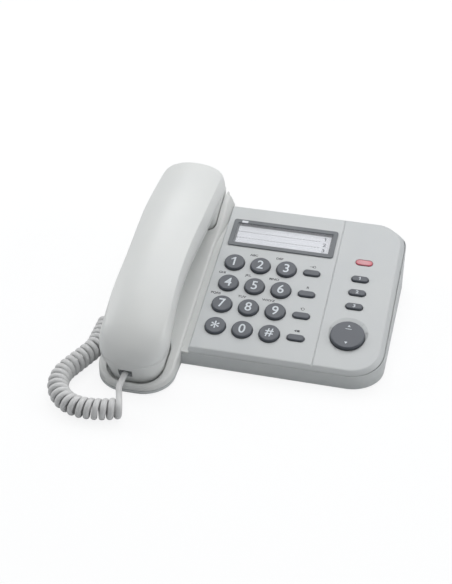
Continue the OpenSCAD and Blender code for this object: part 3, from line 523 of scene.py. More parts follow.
def clear(name, colour, alpha, rough):
    """Clear plastic, thin enough to see straight through."""
    m, tree, b = shader(name, colour, rough)
    b.inputs["Alpha"].default_value = alpha
    b.inputs["Specular IOR Level"].default_value = 0.5
    haze = noise(tree, 300, 3)
    r = grey_ramp(tree, haze.outputs["Fac"], (0.3, rough * 0.7), (0.7, rough * 1.5))
    tree.links.new(r.outputs["Color"], b.inputs["Roughness"])
    return m


case_plastic = moulded("case_plastic", (0.560, 0.580, 0.590), 0.40, mottle=0.012, warm=0.004)
# The cradle is the case's own plastic, painted lighter to stand in for light where the handset shades it
cradle_plastic_painted_lighter = moulded("cradle_plastic_painted_lighter", (0.675, 0.687, 0.680), 0.40, mottle=0.012, warm=0.005)
wall_plastic = moulded("wall_plastic", (0.560, 0.582, 0.588), 0.44, mottle=0.015, warm=0.004)
handset_plastic = moulded("handset_plastic", (0.735, 0.750, 0.745), 0.36, grain=2200, bump=0.03,
                          mottle=0.012, spread=0.06, warm=0.005)
key_plastic = moulded("key_plastic", (0.094, 0.104, 0.122), 0.38, bump=0.08, mottle=0.05, scale=60)
frame_plastic = moulded("frame_plastic", (0.150, 0.162, 0.175), 0.46, bump=0.12, mottle=0.04, scale=60)
cord_plastic = moulded("cord_plastic", (0.655, 0.658, 0.658), 0.38, grain=1500, bump=0.06, mottle=0.03,
                       scale=60)
jack_plastic = moulded("jack_plastic", (0.035, 0.035, 0.037), 0.35, mottle=0.08, scale=80)
foot_rubber = moulded("foot_rubber", (0.045, 0.045, 0.045), 0.75, grain=1200, bump=0.3, mottle=0.15,
                      scale=120)
mat_rubber = moulded("mat_rubber", (0.42, 0.42, 0.42), 0.7, bump=0.15, mottle=0.06, scale=100)
board_green = moulded("board_green", (0.03, 0.16, 0.06), 0.35, grain=900, bump=0.15, mottle=0.25, scale=140)
black_plastic = moulded("black_plastic", (0.025, 0.025, 0.027), 0.45, mottle=0.1, scale=80)
plain_steel = steel("plain_steel", (0.58, 0.58, 0.60), 0.3, (1, 1, 12))
spring_steel = steel("spring_steel", (0.62, 0.62, 0.64), 0.25, (1, 6, 1))
window_clear = clear("window_clear", (0.93, 0.94, 0.97), 0.13, 0.12)
plug_clear = clear("plug_clear", (0.50, 0.53, 0.55), 0.35, 0.2)
digit_ink = ink("digit_ink", (0.68, 0.72, 0.76))
label_ink = ink("label_ink", (0.045, 0.048, 0.055))
card_ink = ink("card_ink", (0.10, 0.105, 0.13))


def card_paper():
    """Unprinted paper with a faint grain of fibres."""
    m, tree, b = shader("card_paper", (0.80, 0.815, 0.85), 0.7)
    fibre = noise(tree, 700, 6, 0.7, (1, 3, 1))
    r = ramp(tree, fibre.outputs["Fac"], [(0.3, (0.77, 0.785, 0.83)), (0.7, (0.825, 0.84, 0.87))])
    tree.links.new(r.outputs["Color"], b.inputs["Base Color"])
    textured(tree, b, fibre, 0.12)
    return m


def lamp_plastic():
    """Red lamp lens: paler over its middle, deeper red towards its rim."""
    m, tree, b = shader("lamp_plastic", (0.80, 0.40, 0.42), 0.55)
    coord = tree.nodes.new("ShaderNodeTexCoord")
    place = tree.nodes.new("ShaderNodeMapping")
    centre = DECK @ Vector((LAMP[0] * MM, LAMP[1] * MM, 0))
    sizes = (1 / (LAMP_PALE_MIDDLE[0] * MM), 1 / (LAMP_PALE_MIDDLE[1] * MM), 0)
    place.inputs["Location"].default_value = [-c * s for c, s in zip(centre, sizes)]
    place.inputs["Scale"].default_value = sizes
    ball = tree.nodes.new("ShaderNodeTexGradient")
    ball.gradient_type = "SPHERICAL"
    tree.links.new(coord.outputs["Object"], place.inputs["Vector"])
    tree.links.new(place.outputs["Vector"], ball.inputs["Vector"])
    r = ramp(tree, ball.outputs["Fac"], [(0.0, (0.60, 0.13, 0.17)), (0.18, (0.68, 0.27, 0.30)),
                                         (0.5, (0.70, 0.36, 0.39))])
    tree.links.new(r.outputs["Color"], b.inputs["Base Color"])
    b.inputs["Subsurface Weight"].default_value = 0.25
    b.inputs["Subsurface Radius"].default_value = (0.002, 0.0006, 0.0006)
    b.inputs["Subsurface Scale"].default_value = 1.0
    return m


paper = card_paper()
lamp_red = lamp_plastic()


def finish_piece(o, body, material=None, replaces=()):
    """Gives a piece its material, body and the CAD nodes whose place it takes."""
    if material is not None:
        o.data.materials.clear()
        o.data.materials.append(material)
    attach(o, body)
    if replaces:
        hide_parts(*replaces)
    return o


cord.data.materials.append(cord_plastic)


# ---- Case ----

# The base's plan and its cradle, and the deck's plan in its own frame: x, and v along the slope
BASE_HALF = 98
CRADLE_X1, CRADLE_FOOT, CRADLE_BLOCK, CRADLE_FRONT_R, CRADLE_REAR_R = -43.5, 3.75, 70, 22, 9
DX0, DX1, V0, V1 = -39.4, 96.9, -60.554, 87.2
CORNER_R, BAND, LEFT_SHIFT, BEVEL_H, PLATE_T, DECK_EDGE = 23, 3.2, 2.3, 2.6, 0.05, 0.7
BAR_FROM, BAR_LOW, BAR_INNER_X, BAR_INNER_V = 42, -9.0, 74, 76
SEAM_X0, SEAM_X1, SEAM_DEPTH = 49.1, 49.9, 0.7
STRIP_X0, STRIP_X1, STRIP_LOW, STRIP_TOP = -43.9, -38.4, -4.6, -2.0
GROOVE_LOW, GROOVE_PAST = -3.7, 0.7

# Planes that trim the rear edge: direction and tilt in degrees, and place past the deck's own edge
REAR_PLANES = ((0, 50, 0), (12, 52, 0), (24, 55, 0), (36, 57, 0),
               (48, 55, 0.5), (60, 50, 1.2), (72, 44, 2.0))
REAR_PAST = 0.25

# The cradle's top: its step over the deck, its hump beside the ear cup and its rounded rear end
RIM_UP, HUMP_FROM, HUMP_RUN, HUMP_H = 1.02, 42, 44, 7.2
RIM_END, RIM_END_RUN, RIM_END_DROP = 81, 17.4, 15

# Wells: front, rear, width, corner radius, floor over the deck's slope, and gap round the cup
MOUTH_WELL = (-93.2, -50.2, 37.6, 14, -3.3, 1.9)
EAR_WELL = (53.1, 95.6, 46.0, 5.5, -9.3, 1.25)
REAR_GAP_HALF, REAR_GAP_FROM, REAR_GAP_LOW = 25.4, 75, 37.3
HOOK_HALF, HOOK_FROM, HOOK_TO, HOOK_LOW, HOOK_HIGH = 4.4, 63.1, 68.9, 10, 60
TOOL_TOP, TOOL_REAR = 90, 120

# The flank beside the hump: its sides, its width where it starts, where it widens, its foot under the
# deck's slope, which goes deeper at the rear, and where its rear end turns down
FLANK_X0, FLANK_X1, FLANK_START_W, WIDEN_FROM, WIDEN_RUN = -46.0, -38.8, 2.9, 36, 40
FLANK_Y0, FLANK_Y1, FLANK_LOW, FLANK_UNDER = 34, 87.6, 2.1, 1.0
DEEPER, DEEPER_FROM, DEEPER_RUN = 8.0, 78, 6
FLANK_END, FLANK_END_R = 85, 2.62
FLANK_ROWS = [36, 38, 40, 42, *range(45, 80, 4), 80, 82, 84, 85, 85.8, 86.5, 87, 87.35]
FLANK_SHARES = (0.12, 0.24, 0.36, 0.48, 0.6, 0.7, 0.8, 0.88, 0.94, 0.98)


def plate_plan(name, z0, z1, grow=0.0):
    """A slab with the deck's plan, round at its two right corners."""
    o = block(name, (DX0 - grow, V0 - grow, z0), (DX1 + grow, V1 + grow, z1))
    return rounded(o, lambda e: upright(e) and e.verts[0].co.x > 90 * MM, CORNER_R + grow, 22)


def trim_rear(o):
    """Cuts away the rear top edge of the base, along steep planes round the deck's edge and its corner."""
    for degrees, tilt, past in REAR_PLANES:
        a, b = math.radians(degrees), math.radians(tilt)
        r = CORNER_R - BAND + REAR_PAST + past
        at = DECK @ (Vector((DX1 - CORNER_R + r * math.sin(a), V1 - CORNER_R + r * math.cos(a), 0)) * MM)
        up = DECK.to_3x3() @ Vector((math.sin(a) * math.sin(b), math.cos(a) * math.sin(b), math.cos(b)))
        bisected(o, at, up, clear_outer=True)
    return o


def rear_bar():
    """The thick edge along the rear and the right side of the deck's underside."""
    bar = plate_plan("rear_bar", BAR_LOW, PLATE_T - BEVEL_H)
    bisected(bar, (0, BAR_FROM * MM, 0), (0, 1, 0), clear_inner=True)
    return cut(bar, block("hole", (DX0 - 5, BAR_FROM - 2, -20), (BAR_INNER_X, BAR_INNER_V, 5)))


def deck_holes():
    """Tools for the holes round keys, lamp and number card, the volume key's dish and the fine seam."""
    tools = [disc("hole", x, v, HOLE_LOW, HOLE_HIGH, KEY_HOLE_R) for x in COLUMNS for v in ROWS]
    for x, v in [(FUNCTION_X, v) for v in ROWS] + MEMORIES + [LAMP]:
        tools.append(oblong("hole", x, v, HOLE_LOW, HOLE_HIGH, PILL_HOLE_L, PILL_HOLE_W))
    x, v = VOLUME
    tools.append(disc("hole", x, v, HOLE_LOW, HOLE_HIGH, VOLUME_HOLE_R, FINE_SIDES))
    tools.append(disc("hole", x, v + DISH_OFF, DISH_FLOOR, DISH_RIM, DISH_R, FINE_SIDES, top=DISH_RIM_R))
    dx, dv = FRAME_HALF
    tools.append(block("hole", (CARD_X - dx, CARD_V - dv, HOLE_LOW), (CARD_X + dx, CARD_V + dv, HOLE_HIGH)))
    tools.append(block("hole", (SEAM_X0, V0 - 1, -SEAM_DEPTH), (SEAM_X1, V1 + 1, 1)))
    return tools


def deck_plate():
    """The keypad deck, made flat in its own frame and then laid on the slope."""
    o = plate_plan("deck_plate", -BEVEL_H - PLATE_T, -BEVEL_H)
    pick(o, "FACE", lambda f: f.normal.z > 0.9)
    bpy.ops.mesh.inset(thickness=BAND * MM, use_even_offset=True)
    bpy.ops.transform.translate(value=(0, 0, BEVEL_H * MM))
    done()
    # The bevel is narrower on the left
    for v in o.data.vertices:
        if v.co.z > -0.1 * MM:
            v.co.x -= LEFT_SHIFT * MM * (DX1 - BAND - v.co.x / MM) / (DX1 - DX0 - 2 * BAND)
    rounded(o, top_rim(0.0), DECK_EDGE)
    bar = rear_bar()
    modify(o, "BOOLEAN", object=bar, operation="UNION", solver="MANIFOLD")
    bpy.data.objects.remove(bar)
    cut_all(o, deck_holes())
    trim_rear(to_deck(o))
    smooth(o, 0.22, angle=38)
    return finish_piece(o, "base", case_plastic)


def rim_z(y):
    """Height of the cradle's top, with the hump beside the ear cup, rounded off at the rear."""
    fall = min(1.0, max(0.0, (y - RIM_END) / RIM_END_RUN))
    return (DECK_Z + y * SLOPE + RIM_UP + HUMP_H * ease((y - HUMP_FROM) / HUMP_RUN)
            - RIM_END_DROP * (1 - math.sqrt(1 - fall * fall)))


def well(y0, y1, width, r, n, gap):
    """A tool with the plan of a cup, its floor on the deck's slope."""
    o = block("well", (HS_X - width / 2 - gap, y0 - gap, 0), (HS_X + width / 2 + gap, y1 + gap, TOOL_TOP))
    rounded(o, upright, r + gap, 12)
    for v in o.data.vertices:
        if v.co.z < 10 * MM:
            v.co.z = DECK_Z * MM + v.co.y * SLOPE + n * MM / math.cos(TILT)
    return o


def outer_rim(e):
    """Edges between the cradle's top and its walls."""
    return (all(v.co.z > 5 * MM for v in e.verts)
            and any(abs(f.normal.z) < 0.3 for f in e.link_faces)
            and any(f.normal.z > 0.5 for f in e.link_faces))


def cradle():
    """The wing that holds the handset: a rounded slab with a hump and a well for each cup."""
    o = block("cradle", (-BASE_HALF, -BASE_HALF, CRADLE_FOOT), (CRADLE_X1, BASE_HALF, CRADLE_BLOCK))
    rounded(o, lambda e: upright(e) and e.verts[0].co.y < 0, CRADLE_FRONT_R, 20)
    rounded(o, lambda e: upright(e) and e.verts[0].co.y > 90 * MM, CRADLE_REAR_R, 10)
    slices(o, 1, range(40, BASE_HALF, 3))
    for v in o.data.vertices:
        if v.co.z > 50 * MM:
            v.co.z = rim_z(v.co.y / MM) * MM
    rounded(o, outer_rim, 2.0, 6)
    cut(o, well(*MOUTH_WELL))
    modify(o, "BEVEL", width=0.8 * MM, segments=4, limit_method="ANGLE", angle_limit=math.radians(50),
           use_clamp_overlap=False)
    cut_all(o, [well(*EAR_WELL),
                block("well", (HS_X - REAR_GAP_HALF, REAR_GAP_FROM, REAR_GAP_LOW),
                      (HS_X + REAR_GAP_HALF, TOOL_REAR, TOOL_TOP)),
                block("well", (HS_X - HOOK_HALF, HOOK_FROM, HOOK_LOW),
                      (HS_X + HOOK_HALF, HOOK_TO, HOOK_HIGH))])
    smooth(o, 0.3, 2, angle=50, plain=1000)
    return finish_piece(o, "base", cradle_plastic_painted_lighter)


def flank():
    """The rounded slope beside the hump, which grows over the deck's strip towards the rear."""
    full = FLANK_X1 - FLANK_X0
    o = block("cradle_flank", (FLANK_X0, FLANK_Y0, 20), (FLANK_X1, FLANK_Y1, 60))
    slices(o, 1, FLANK_ROWS)
    slices(o, 0, [FLANK_X0 + full * k for k in FLANK_SHARES])
    for v in o.data.vertices:
        x, y, z = v.co / MM
        s = min(max((x - FLANK_X0) / full, 0), 1)
        wide = FLANK_START_W + (full - FLANK_START_W) * ease((y - WIDEN_FROM) / WIDEN_RUN)
        low = DECK_Z + y * SLOPE - FLANK_LOW
        rise = (rim_z(y) - low - 0.05) * (1 - s ** 5) ** 1.3
        if y > FLANK_END:
            rise *= math.sqrt(max(0, 1 - ((y - FLANK_END) / FLANK_END_R) ** 2)) * 0.999
        foot = low - FLANK_UNDER - DEEPER * ease((y - DEEPER_FROM) / DEEPER_RUN)
        v.co.x = (FLANK_X0 + s * wide) * MM
        v.co.z = (low + rise if z > 30 else foot) * MM
    sheer(o, 60)
    return finish_piece(o, "base", cradle_plastic_painted_lighter)


def strip():
    """The flat band between the cradle and the deck."""
    o = block("deck_strip", (STRIP_X0, V0 - 0.9, STRIP_LOW), (STRIP_X1, V1, STRIP_TOP))
    trim_rear(to_deck(o))
    smooth(o, 0.25, 2)
    return finish_piece(o, "base", cradle_plastic_painted_lighter)


def bottom():
    """The case's lower part, cut back under the deck so that a shadow line shows round it."""
    o = copy_of("bottom_case", "case_bottom")
    cut(o, to_deck(plate_plan("groove", GROOVE_LOW, 5, GROOVE_PAST)))
    trim_rear(o)
    smooth(o, 0.15, 2, angle=40)
    return finish_piece(o, "base", wall_plastic, ["bottom_case"])


deck = deck_plate()
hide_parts("top_cover")
cradle()
flank()
strip()
bottom()
for node, width, slot, material in (("rubber_feet", 0.5, "foot", foot_rubber),
                                    ("wall_tab", 0.3, "body", cradle_plastic_painted_lighter),
                                    ("case_screws", 0.25, "steel", plain_steel)):
    finish_piece(smooth(copy_of(node, node + "_made"), width), "base", material, [node])


# ---- Lettering and marks ----

PRINT_THICK = 0.03
MARK_HALF = 0.02
# The slanted stroke of a 1, as shares of the letter's size from its top left corner
ONE_FLAG = [(0.03, 0), (0.03, -0.15), (-0.19, -0.27), (-0.19, -0.15)]


def inked(o, material):
    o.data.materials.clear()
    o.data.materials.append(material)
    return o


def with_flag(o, n, size):
    """Adds the slanted stroke that the plain figure 1 lacks."""
    left = min(w.co.x for w in o.data.vertices) / MM
    top = max(w.co.y for w in o.data.vertices) / MM
    rings = [[(left + a * size, top + b * size, n + way * PRINT_THICK / 2) for a, b in ONE_FLAG]
             for way in (-1, 1)]
    return joined("text", [o, skin("flag", rings)])


def lettering(words, x, v, n, size, material, wide, bold):
    """Printed characters, a hair above the surface under them."""
    deselect()
    bpy.ops.object.text_add()
    t = bpy.context.object
    t.data.body = words
    t.data.align_x, t.data.align_y = "CENTER", "CENTER"
    t.data.size = size * MM
    t.data.extrude = PRINT_THICK / 2 * MM
    t.data.resolution_u = 5
    t.data.offset = bold * MM
    bpy.ops.object.convert(target="MESH")
    o = bpy.context.object
    xs = [w.co.x for w in o.data.vertices]
    ys = [w.co.y for w in o.data.vertices]
    o.location = (-(min(xs) + max(xs)) / 2 * wide, -(min(ys) + max(ys)) / 2, 0)
    o.scale = (wide, 1, 1)
    settle(o)
    o.location = (x * MM, v * MM, n * MM)
    settle(o)
    if words == "1":
        o = with_flag(o, n, size)
    return inked(o, material)


def arrow(x, v, n, r, degrees, material):
    """A small triangle that points up the deck, or is turned to the left by the degrees."""
    deselect()
    bpy.ops.mesh.primitive_cylinder_add(vertices=3, radius=r * MM, depth=PRINT_THICK * MM,
                                        location=(x * MM, v * MM, n * MM),
                                        rotation=(0, 0, math.radians(degrees)))
    return inked(settle(bpy.context.object), material)


def ring_mark(x, v, r, line, material):
    o = disc("mark", x, v, -MARK_HALF, MARK_HALF, r, 24)
    return inked(cut(o, disc("mark", x, v, -1, 1, r - line, 24)), material)


def stroke(x0, v0, x1, v1, material):
    return inked(block("mark", (x0, v0, -MARK_HALF), (x1, v1, MARK_HALF)), material)


# ---- Keys ----

MARKS = [["*", "0", "#"], ["7", "8", "9"], ["4", "5", "6"], ["1", "2", "3"]]
NAMES = {"*": "star", "#": "hash"}
# Size and width of the marks on the dial keys
DIGIT_FORM = (11.3, 0.93)
SIGN_FORMS = {"*": (14.5, 1.0), "#": (10.2, 0.95)}
# The volume key's arrows, and the line under the upper one, from the key's middle
ARROW_OFF, ARROW_R, LINE_HALF, LINE_V0, LINE_V1 = 7.4, 1.3, 2.2, 4.6, 5.05


def dial_key(name, x, v, mark):
    o = disc(name, x, v, KEY_FOOT, KEY_TOP, KEY_R, KEY_SIDES)
    rounded(o, top_rim(KEY_TOP), KEY_EDGE, 7)
    smooth(o)
    o.data.materials.append(key_plastic)
    size, wide = SIGN_FORMS.get(mark, DIGIT_FORM)
    face = lettering(mark, x, v, KEY_TOP, size, digit_ink, wide, 0.12)
    return to_deck(joined(name, [o, face]))


def pill_key(name, x, v, mark=None):
    o = oblong(name, x, v, KEY_FOOT, PILL_TOP, PILL_L, PILL_W)
    rounded(o, top_rim(PILL_TOP), PILL_EDGE, 6)
    smooth(o)
    o.data.materials.append(key_plastic)
    if mark:
        o = joined(name, [o, lettering(mark, x, v, PILL_TOP, 3.8, digit_ink, 1.1, 0.1)])
    return to_deck(o)


def volume_key():
    x, v = VOLUME
    o = disc("volume_key_cap", x, v, KEY_FOOT, VOLUME_TOP, VOLUME_R, FINE_SIDES)
    rounded(o, top_rim(VOLUME_TOP), VOLUME_EDGE, 6)
    smooth(o)
    o.data.materials.append(key_plastic)
    marks = [arrow(x, v + ARROW_OFF, VOLUME_TOP, ARROW_R, 0, digit_ink),
             arrow(x, v - ARROW_OFF, VOLUME_TOP, ARROW_R, 180, digit_ink)]
    line = block("line", (x - LINE_HALF, v + LINE_V0, VOLUME_TOP - PRINT_THICK / 2),
                 (x + LINE_HALF, v + LINE_V1, VOLUME_TOP + PRINT_THICK / 2))
    o = joined("volume_key_cap", [o, *marks, inked(line, digit_ink)])
    return finish_piece(to_deck(o), "volume", None, ["volume_key"])


def lamp():
    o = oblong("lamp_lens_made", *LAMP, LAMP_FOOT, LAMP_TOP, LAMP_L, LAMP_W)
    rounded(o, top_rim(LAMP_TOP), LAMP_EDGE, 5)
    smooth(o)
    return finish_piece(to_deck(o), "base", lamp_red, ["lamp_lens"])


for row, v in enumerate(ROWS):
    for column, x in enumerate(COLUMNS):
        mark = MARKS[row][column]
        node = "key_" + NAMES.get(mark, mark)
        key = dial_key(node + "_cap", x, v, mark)
        finish_piece(key, node, None, [node])
for i, v in enumerate(ROWS):
    node = f"function_key_{i + 1}"
    finish_piece(pill_key(node + "_cap", FUNCTION_X, v), node, None, [node])
for i, (x, v) in enumerate(MEMORIES):
    node = f"memory_key_{i + 1}"
    finish_piece(pill_key(node + "_cap", x, v, str(i + 1)), node, None, [node])
volume_key()
lamp()


# ---- Printing on the deck ----

LETTERS = {(3, 1): "ABC", (3, 2): "DEF", (2, 0): "GHI", (2, 1): "JKL", (2, 2): "MNO",
           (1, 0): "PQRS", (1, 1): "TUV", (1, 2): "WXYZ"}
LETTERS_LEFT, LETTERS_UP, MARK_UP = 7.0, 10.2, 6.6


def function_marks():
    """A small mark over each of the four function keys, from the top one down."""
    x = FUNCTION_X
    first_v, second_v, third_v, fourth_v = [v + MARK_UP for v in reversed(ROWS)]
    return [stroke(x - 2.6, first_v - 0.15, x - 0.6, first_v + 0.15, label_ink),
            ring_mark(x + 0.9, first_v, 1.15, 0.35, label_ink),
            arrow(x - 0.3, first_v, 0, 0.75, -90, label_ink),
            lettering("R", x, second_v, 0, 2.9, label_ink, 1.1, 0.08),
            ring_mark(x, third_v, 1.3, 0.35, label_ink),
            arrow(x - 1.2, third_v + 0.6, 0, 0.75, 60, label_ink),
            stroke(x - 0.2, fourth_v - 0.9, x + 1.7, fourth_v + 0.9, label_ink),
            arrow(x - 1.2, fourth_v, 0, 1.25, 90, label_ink)]


def printing():
    made = [lettering(words, COLUMNS[column] - LETTERS_LEFT, ROWS[row] + LETTERS_UP, 0, 2.7, label_ink,
                      1.15, 0.08)
            for (row, column), words in LETTERS.items()]
    return finish_piece(to_deck(joined("deck_printing", made + function_marks())), "base")


printing()


# ---- Number card ----

DASH_ROWS, DASH_COUNT, DASH_PITCH = (60.1, 53.9), 27, 2.4
DASH_X0, DASH_X1, DASH_HALF, DASH_LOW, DASH_TOP = -29.6, -28.5, 0.3, -1.51, -1.46
NUMBER_X, NUMBER_ROWS, NUMBER_N = 37.6, (62.9, 57.1, 51.3), -1.48
TAB_LOW, TAB_HIGH = (-28.2, 67.2, 0.6), (-23.4, 69.3, 0.98)


def dash_row(v):
    dash = block("dash", (DASH_X0, v - DASH_HALF, DASH_LOW), (DASH_X1, v + DASH_HALF, DASH_TOP))
    dash.data.materials.append(card_ink)
    return modify(dash, "ARRAY", count=DASH_COUNT, use_relative_offset=False, use_constant_offset=True,
                  constant_offset_displace=(DASH_PITCH * MM, 0, 0))


def card():
    """The paper card: two dashed lines, and the three memory keys' numbers at its right end."""
    dx, dv = CARD_HALF
    o = block("number_card_made", (CARD_X - dx, CARD_V - dv, CARD_LOW),
              (CARD_X + dx, CARD_V + dv, CARD_TOP))
    o.data.materials.append(paper)
    dashes = [dash_row(v) for v in DASH_ROWS]
    numbers = [lettering(str(i + 1), NUMBER_X, v, NUMBER_N, 4.6, card_ink, 1.1, 0.12)
               for i, v in enumerate(NUMBER_ROWS)]
    o = joined("number_card_made", [o, *dashes, *numbers])
    return finish_piece(to_deck(o), "base", None, ["number_card"])


def card_frame():
    o = copy_of("card_frame", "card_frame_made")
    smooth(o, 0.28, angle=40)
    return finish_piece(o, "base", frame_plastic, ["card_frame"])


def card_tab():
    """The corner of paper that shows over the frame's rear edge."""
    tab = block("card_tab", TAB_LOW, TAB_HIGH)
    rounded(tab, upright, 0.5, 4)
    smooth(tab, 0.1, 2)
    return finish_piece(to_deck(tab), "base", paper)


card()
card_frame()
card_tab()


# ---- Handset ----

# The bar along y: its ends, width, highest place and lengthwise arch, and its heights over and under the
# parting line, which drops away at the nose
HS_FRONT, HS_REAR, HS_W = 97.4, 98.0, 48.6
CROWN, CROWN_Y, ARCH = 76.0, 40, 560.0
BACK_H, FACE_H, ROUND = 18.5, 9.0, 2.75
NOSE_FROM, NOSE_RUN, NOSE_DROP, TOP_CURVE = 42, 52, 15.5, 0.00078
FRONT_RUN, FRONT_POWER, REAR_RUN, TIP_H = 46, 2.65, 9, 0.4
WAIST_IN, WAIST_Y, WAIST_RUN, FRONT_CORNER, REAR_CORNER = 1.9, -25, 65, 18, 14
STATIONS, CORNER_STEPS, CUP_STEPS, EDGE_STEPS, ROOT_UNDER = 84, 10, 8, 4, 1.5
SEAM_HALF, SEAM_IN = 0.015, 0.2
# The skin stands out by this much over the sizes above, and its shoulder is firm between two ends
GROW_W, GROW_H, GROW_SEAM = 0.4, 0.2, 0.04
FIRM_FROM, FIRM_RUN, SOFT_FROM, SOFT_RUN, SOFT_SHARE = -96, 40, 78, 18, 0.8

# Cups: width, length, corner radius and place of the face and of the root, how far the face lies under the
# deck's slope, and the width of its rounded edge
MOUTH = ((39.2, 42.4, 15, -70.9), (47.6, 50, 17, -71.6), 3.0, 2.8)
EAR = ((46, 41, 6.5, 75.1), (48.6, 44.0, 7.5, 75.0), 9.0, 0.8)
# Sound holes: their middle, depth under the slope, rings, spacing and diameter
MOUTH_HOLES = (-71.7, 3.0, 1, 3.6, 1.8)
EAR_HOLES = (75.1, 9.0, 2, 4.4, 2.2)
SCREW_YS, SCREW_HOLE_R, SCREW_HOLE_DEPTH = (-36, 36), 3.1, 2.1
RECESS_HALF_W, RECESS_HALF_H, RECESS_Y0, RECESS_Y1 = 4.9, 3.25, -103, -86


def nose_drop(y):
    return NOSE_DROP * ease((-y - NOSE_FROM) / NOSE_RUN)


def crown_fall(y):
    """How much the top curves down towards the front, over the parting line's own curve."""
    return TOP_CURVE * min(0, y - CROWN_Y) ** 2


def parting_z(y):
    return CROWN - BACK_H - (y - CROWN_Y) ** 2 / (2 * ARCH) - nose_drop(y)


def half_width(y):
    """Half the bar's width, with a slight waist and the round corners of its plan."""
    return (HS_W / 2 - WAIST_IN * (1 - ease(abs(y - WAIST_Y) / WAIST_RUN))
            - edge_drop(y + HS_FRONT, FRONT_CORNER) - edge_drop(HS_REAR - y, REAR_CORNER))


def front_fall(d, h):
    """The top's fall at the nose, which starts more softly than a quarter ellipse."""
    if d >= FRONT_RUN:
        return 0.0
    return h * (1 - (1 - (1 - d / FRONT_RUN) ** FRONT_POWER) ** (1 / FRONT_POWER))


def rear_fall(d, h):
    return edge_drop(d * h / REAR_RUN, h)


def bar_height(y, h):
    """What is left at y of a full height h over or under the parting line."""
    return h - front_fall(y + HS_FRONT, h - TIP_H) - rear_fall(HS_REAR - y, h - TIP_H)


def power(s, e):
    return math.copysign(abs(s) ** (2 / e), s)


def shoulder_curve():
    """Half section over the parting line as x, z shares: a crowned top, a firm shoulder and a steep side."""
    side = [(1 - 0.075 * (z / 0.6) ** 2, z) for z in (0, 0.1, 0.2, 0.3, 0.4, 0.5, 0.56)]
    a, b, c = Vector((0.930, 0.60)), Vector((0.922, 0.668)), Vector((0.875, 0.686))
    shoulder = [tuple((1 - t) ** 2 * a + 2 * t * (1 - t) * b + t * t * c)
                for t in (0, 0.2, 0.4, 0.6, 0.8, 1)]
    top = [(x, 1 - 0.418 * x * x) for x in (0.80, 0.66, 0.54, 0.4, 0.26, 0.13, 0)]
    half = side + shoulder + top
    return half + [(-x, z) for x, z in reversed(half[:-1])]


SHOULDER = shoulder_curve()


def firmness(y):
    """How far the section has the firm shoulder, from 0 at the nose to 1 in the middle."""
    return ease((y - FIRM_FROM) / FIRM_RUN) * (1 - SOFT_SHARE * ease((y - SOFT_FROM) / SOFT_RUN))


def half_section(y, up):
    """Half section of the bar at y, over its parting line or under it."""
    a = half_width(y) + GROW_W
    h = bar_height(y, BACK_H + nose_drop(y) - crown_fall(y) if up > 0 else FACE_H) + GROW_H
    z = parting_z(y)
    firm = firmness(y) if up > 0 else 0
    points = []
    for i, (sx, sz) in enumerate(SHOULDER):
        t = math.pi * i / (len(SHOULDER) - 1)
        ex, ez = power(math.cos(t), ROUND), power(math.sin(t), ROUND)
        points.append(Vector((HS_X + a * (ex + (sx - ex) * firm), y,
                              z + up * (h * (ez + (sz - ez) * firm) + GROW_SEAM))))
    cut_in = min(SEAM_IN, a * 0.2)
    return points + [Vector((HS_X - a + cut_in, y, z + up * SEAM_HALF)),
                     Vector((HS_X + a - cut_in, y, z + up * SEAM_HALF))]


def handset_shell(name, up):
    """One half of the bar, with its sections closer together near both ends."""
    stations = [-HS_FRONT + (HS_FRONT + HS_REAR) * (1 - math.cos(math.pi * i / STATIONS)) / 2
                for i in range(STATIONS + 1)]
    return skin(name, [half_section(y, up) for y in stations])


def round_plan(w, l, r, y):
    """Points of a rounded rectangle centred on the handset at y, from its right side round."""
    points = []
    for qx, qy, start in ((1, 1, 0), (-1, 1, 90), (-1, -1, 180), (1, -1, 270)):
        for k in range(CORNER_STEPS + 1):
            a = math.radians(start + 90 * k / CORNER_STEPS)
            points.append((HS_X + qx * (w / 2 - r) + r * math.cos(a),
                           y + qy * (l / 2 - r) + r * math.sin(a)))
    return points


def cup(name, face, root, sink, edge):
    """A cup of the handset: rings from its face on the deck's slope up to its root in the bar."""
    rings = []
    drop = sink / math.cos(TILT)
    w, l, r, middle = face
    for k in range(EDGE_STEPS + 1):
        a = math.pi / 2 * k / EDGE_STEPS
        inset, lift = edge * (1 - math.sin(a)), edge * (1 - math.cos(a))
        plan = round_plan(w - 2 * inset, l - 2 * inset, max(r - inset, 1), middle)
        rings.append([Vector((x, y, DECK_Z + y * SLOPE - drop + lift)) for x, y in plan])
    low = rings[-1]
    high = [Vector((x, y, parting_z(y) - ROOT_UNDER)) for x, y in round_plan(*root)]
    for k in range(1, CUP_STEPS + 1):
        rings.append([a.lerp(b, k / CUP_STEPS) for a, b in zip(low, high)])
    return skin(name, rings)


def sound_holes(middle, sink, rings, pitch, d):
    """Tools for one hole in the middle of a cup's face and rings of holes round it."""
    v = (middle - sink * math.sin(TILT)) / math.cos(TILT)
    tools = []
    for ring in range(rings + 1):
        count = max(1, 6 * ring)
        for i in range(count):
            a = 2 * math.pi * i / count
            tools.append(disc("hole", HS_X + ring * pitch * math.cos(a), v + ring * pitch * math.sin(a),
                              -sink - 1.5, -sink + 1.2, d / 2, 20))
    return [to_deck(t) for t in tools]


def plug_recess():
    """Tool for the jack's opening in the front end."""
    return block("hole", (PLUG_AT.x - RECESS_HALF_W, RECESS_Y0, PLUG_AT.z - RECESS_HALF_H),
                 (PLUG_AT.x + RECESS_HALF_W, RECESS_Y1, PLUG_AT.z + RECESS_HALF_H))


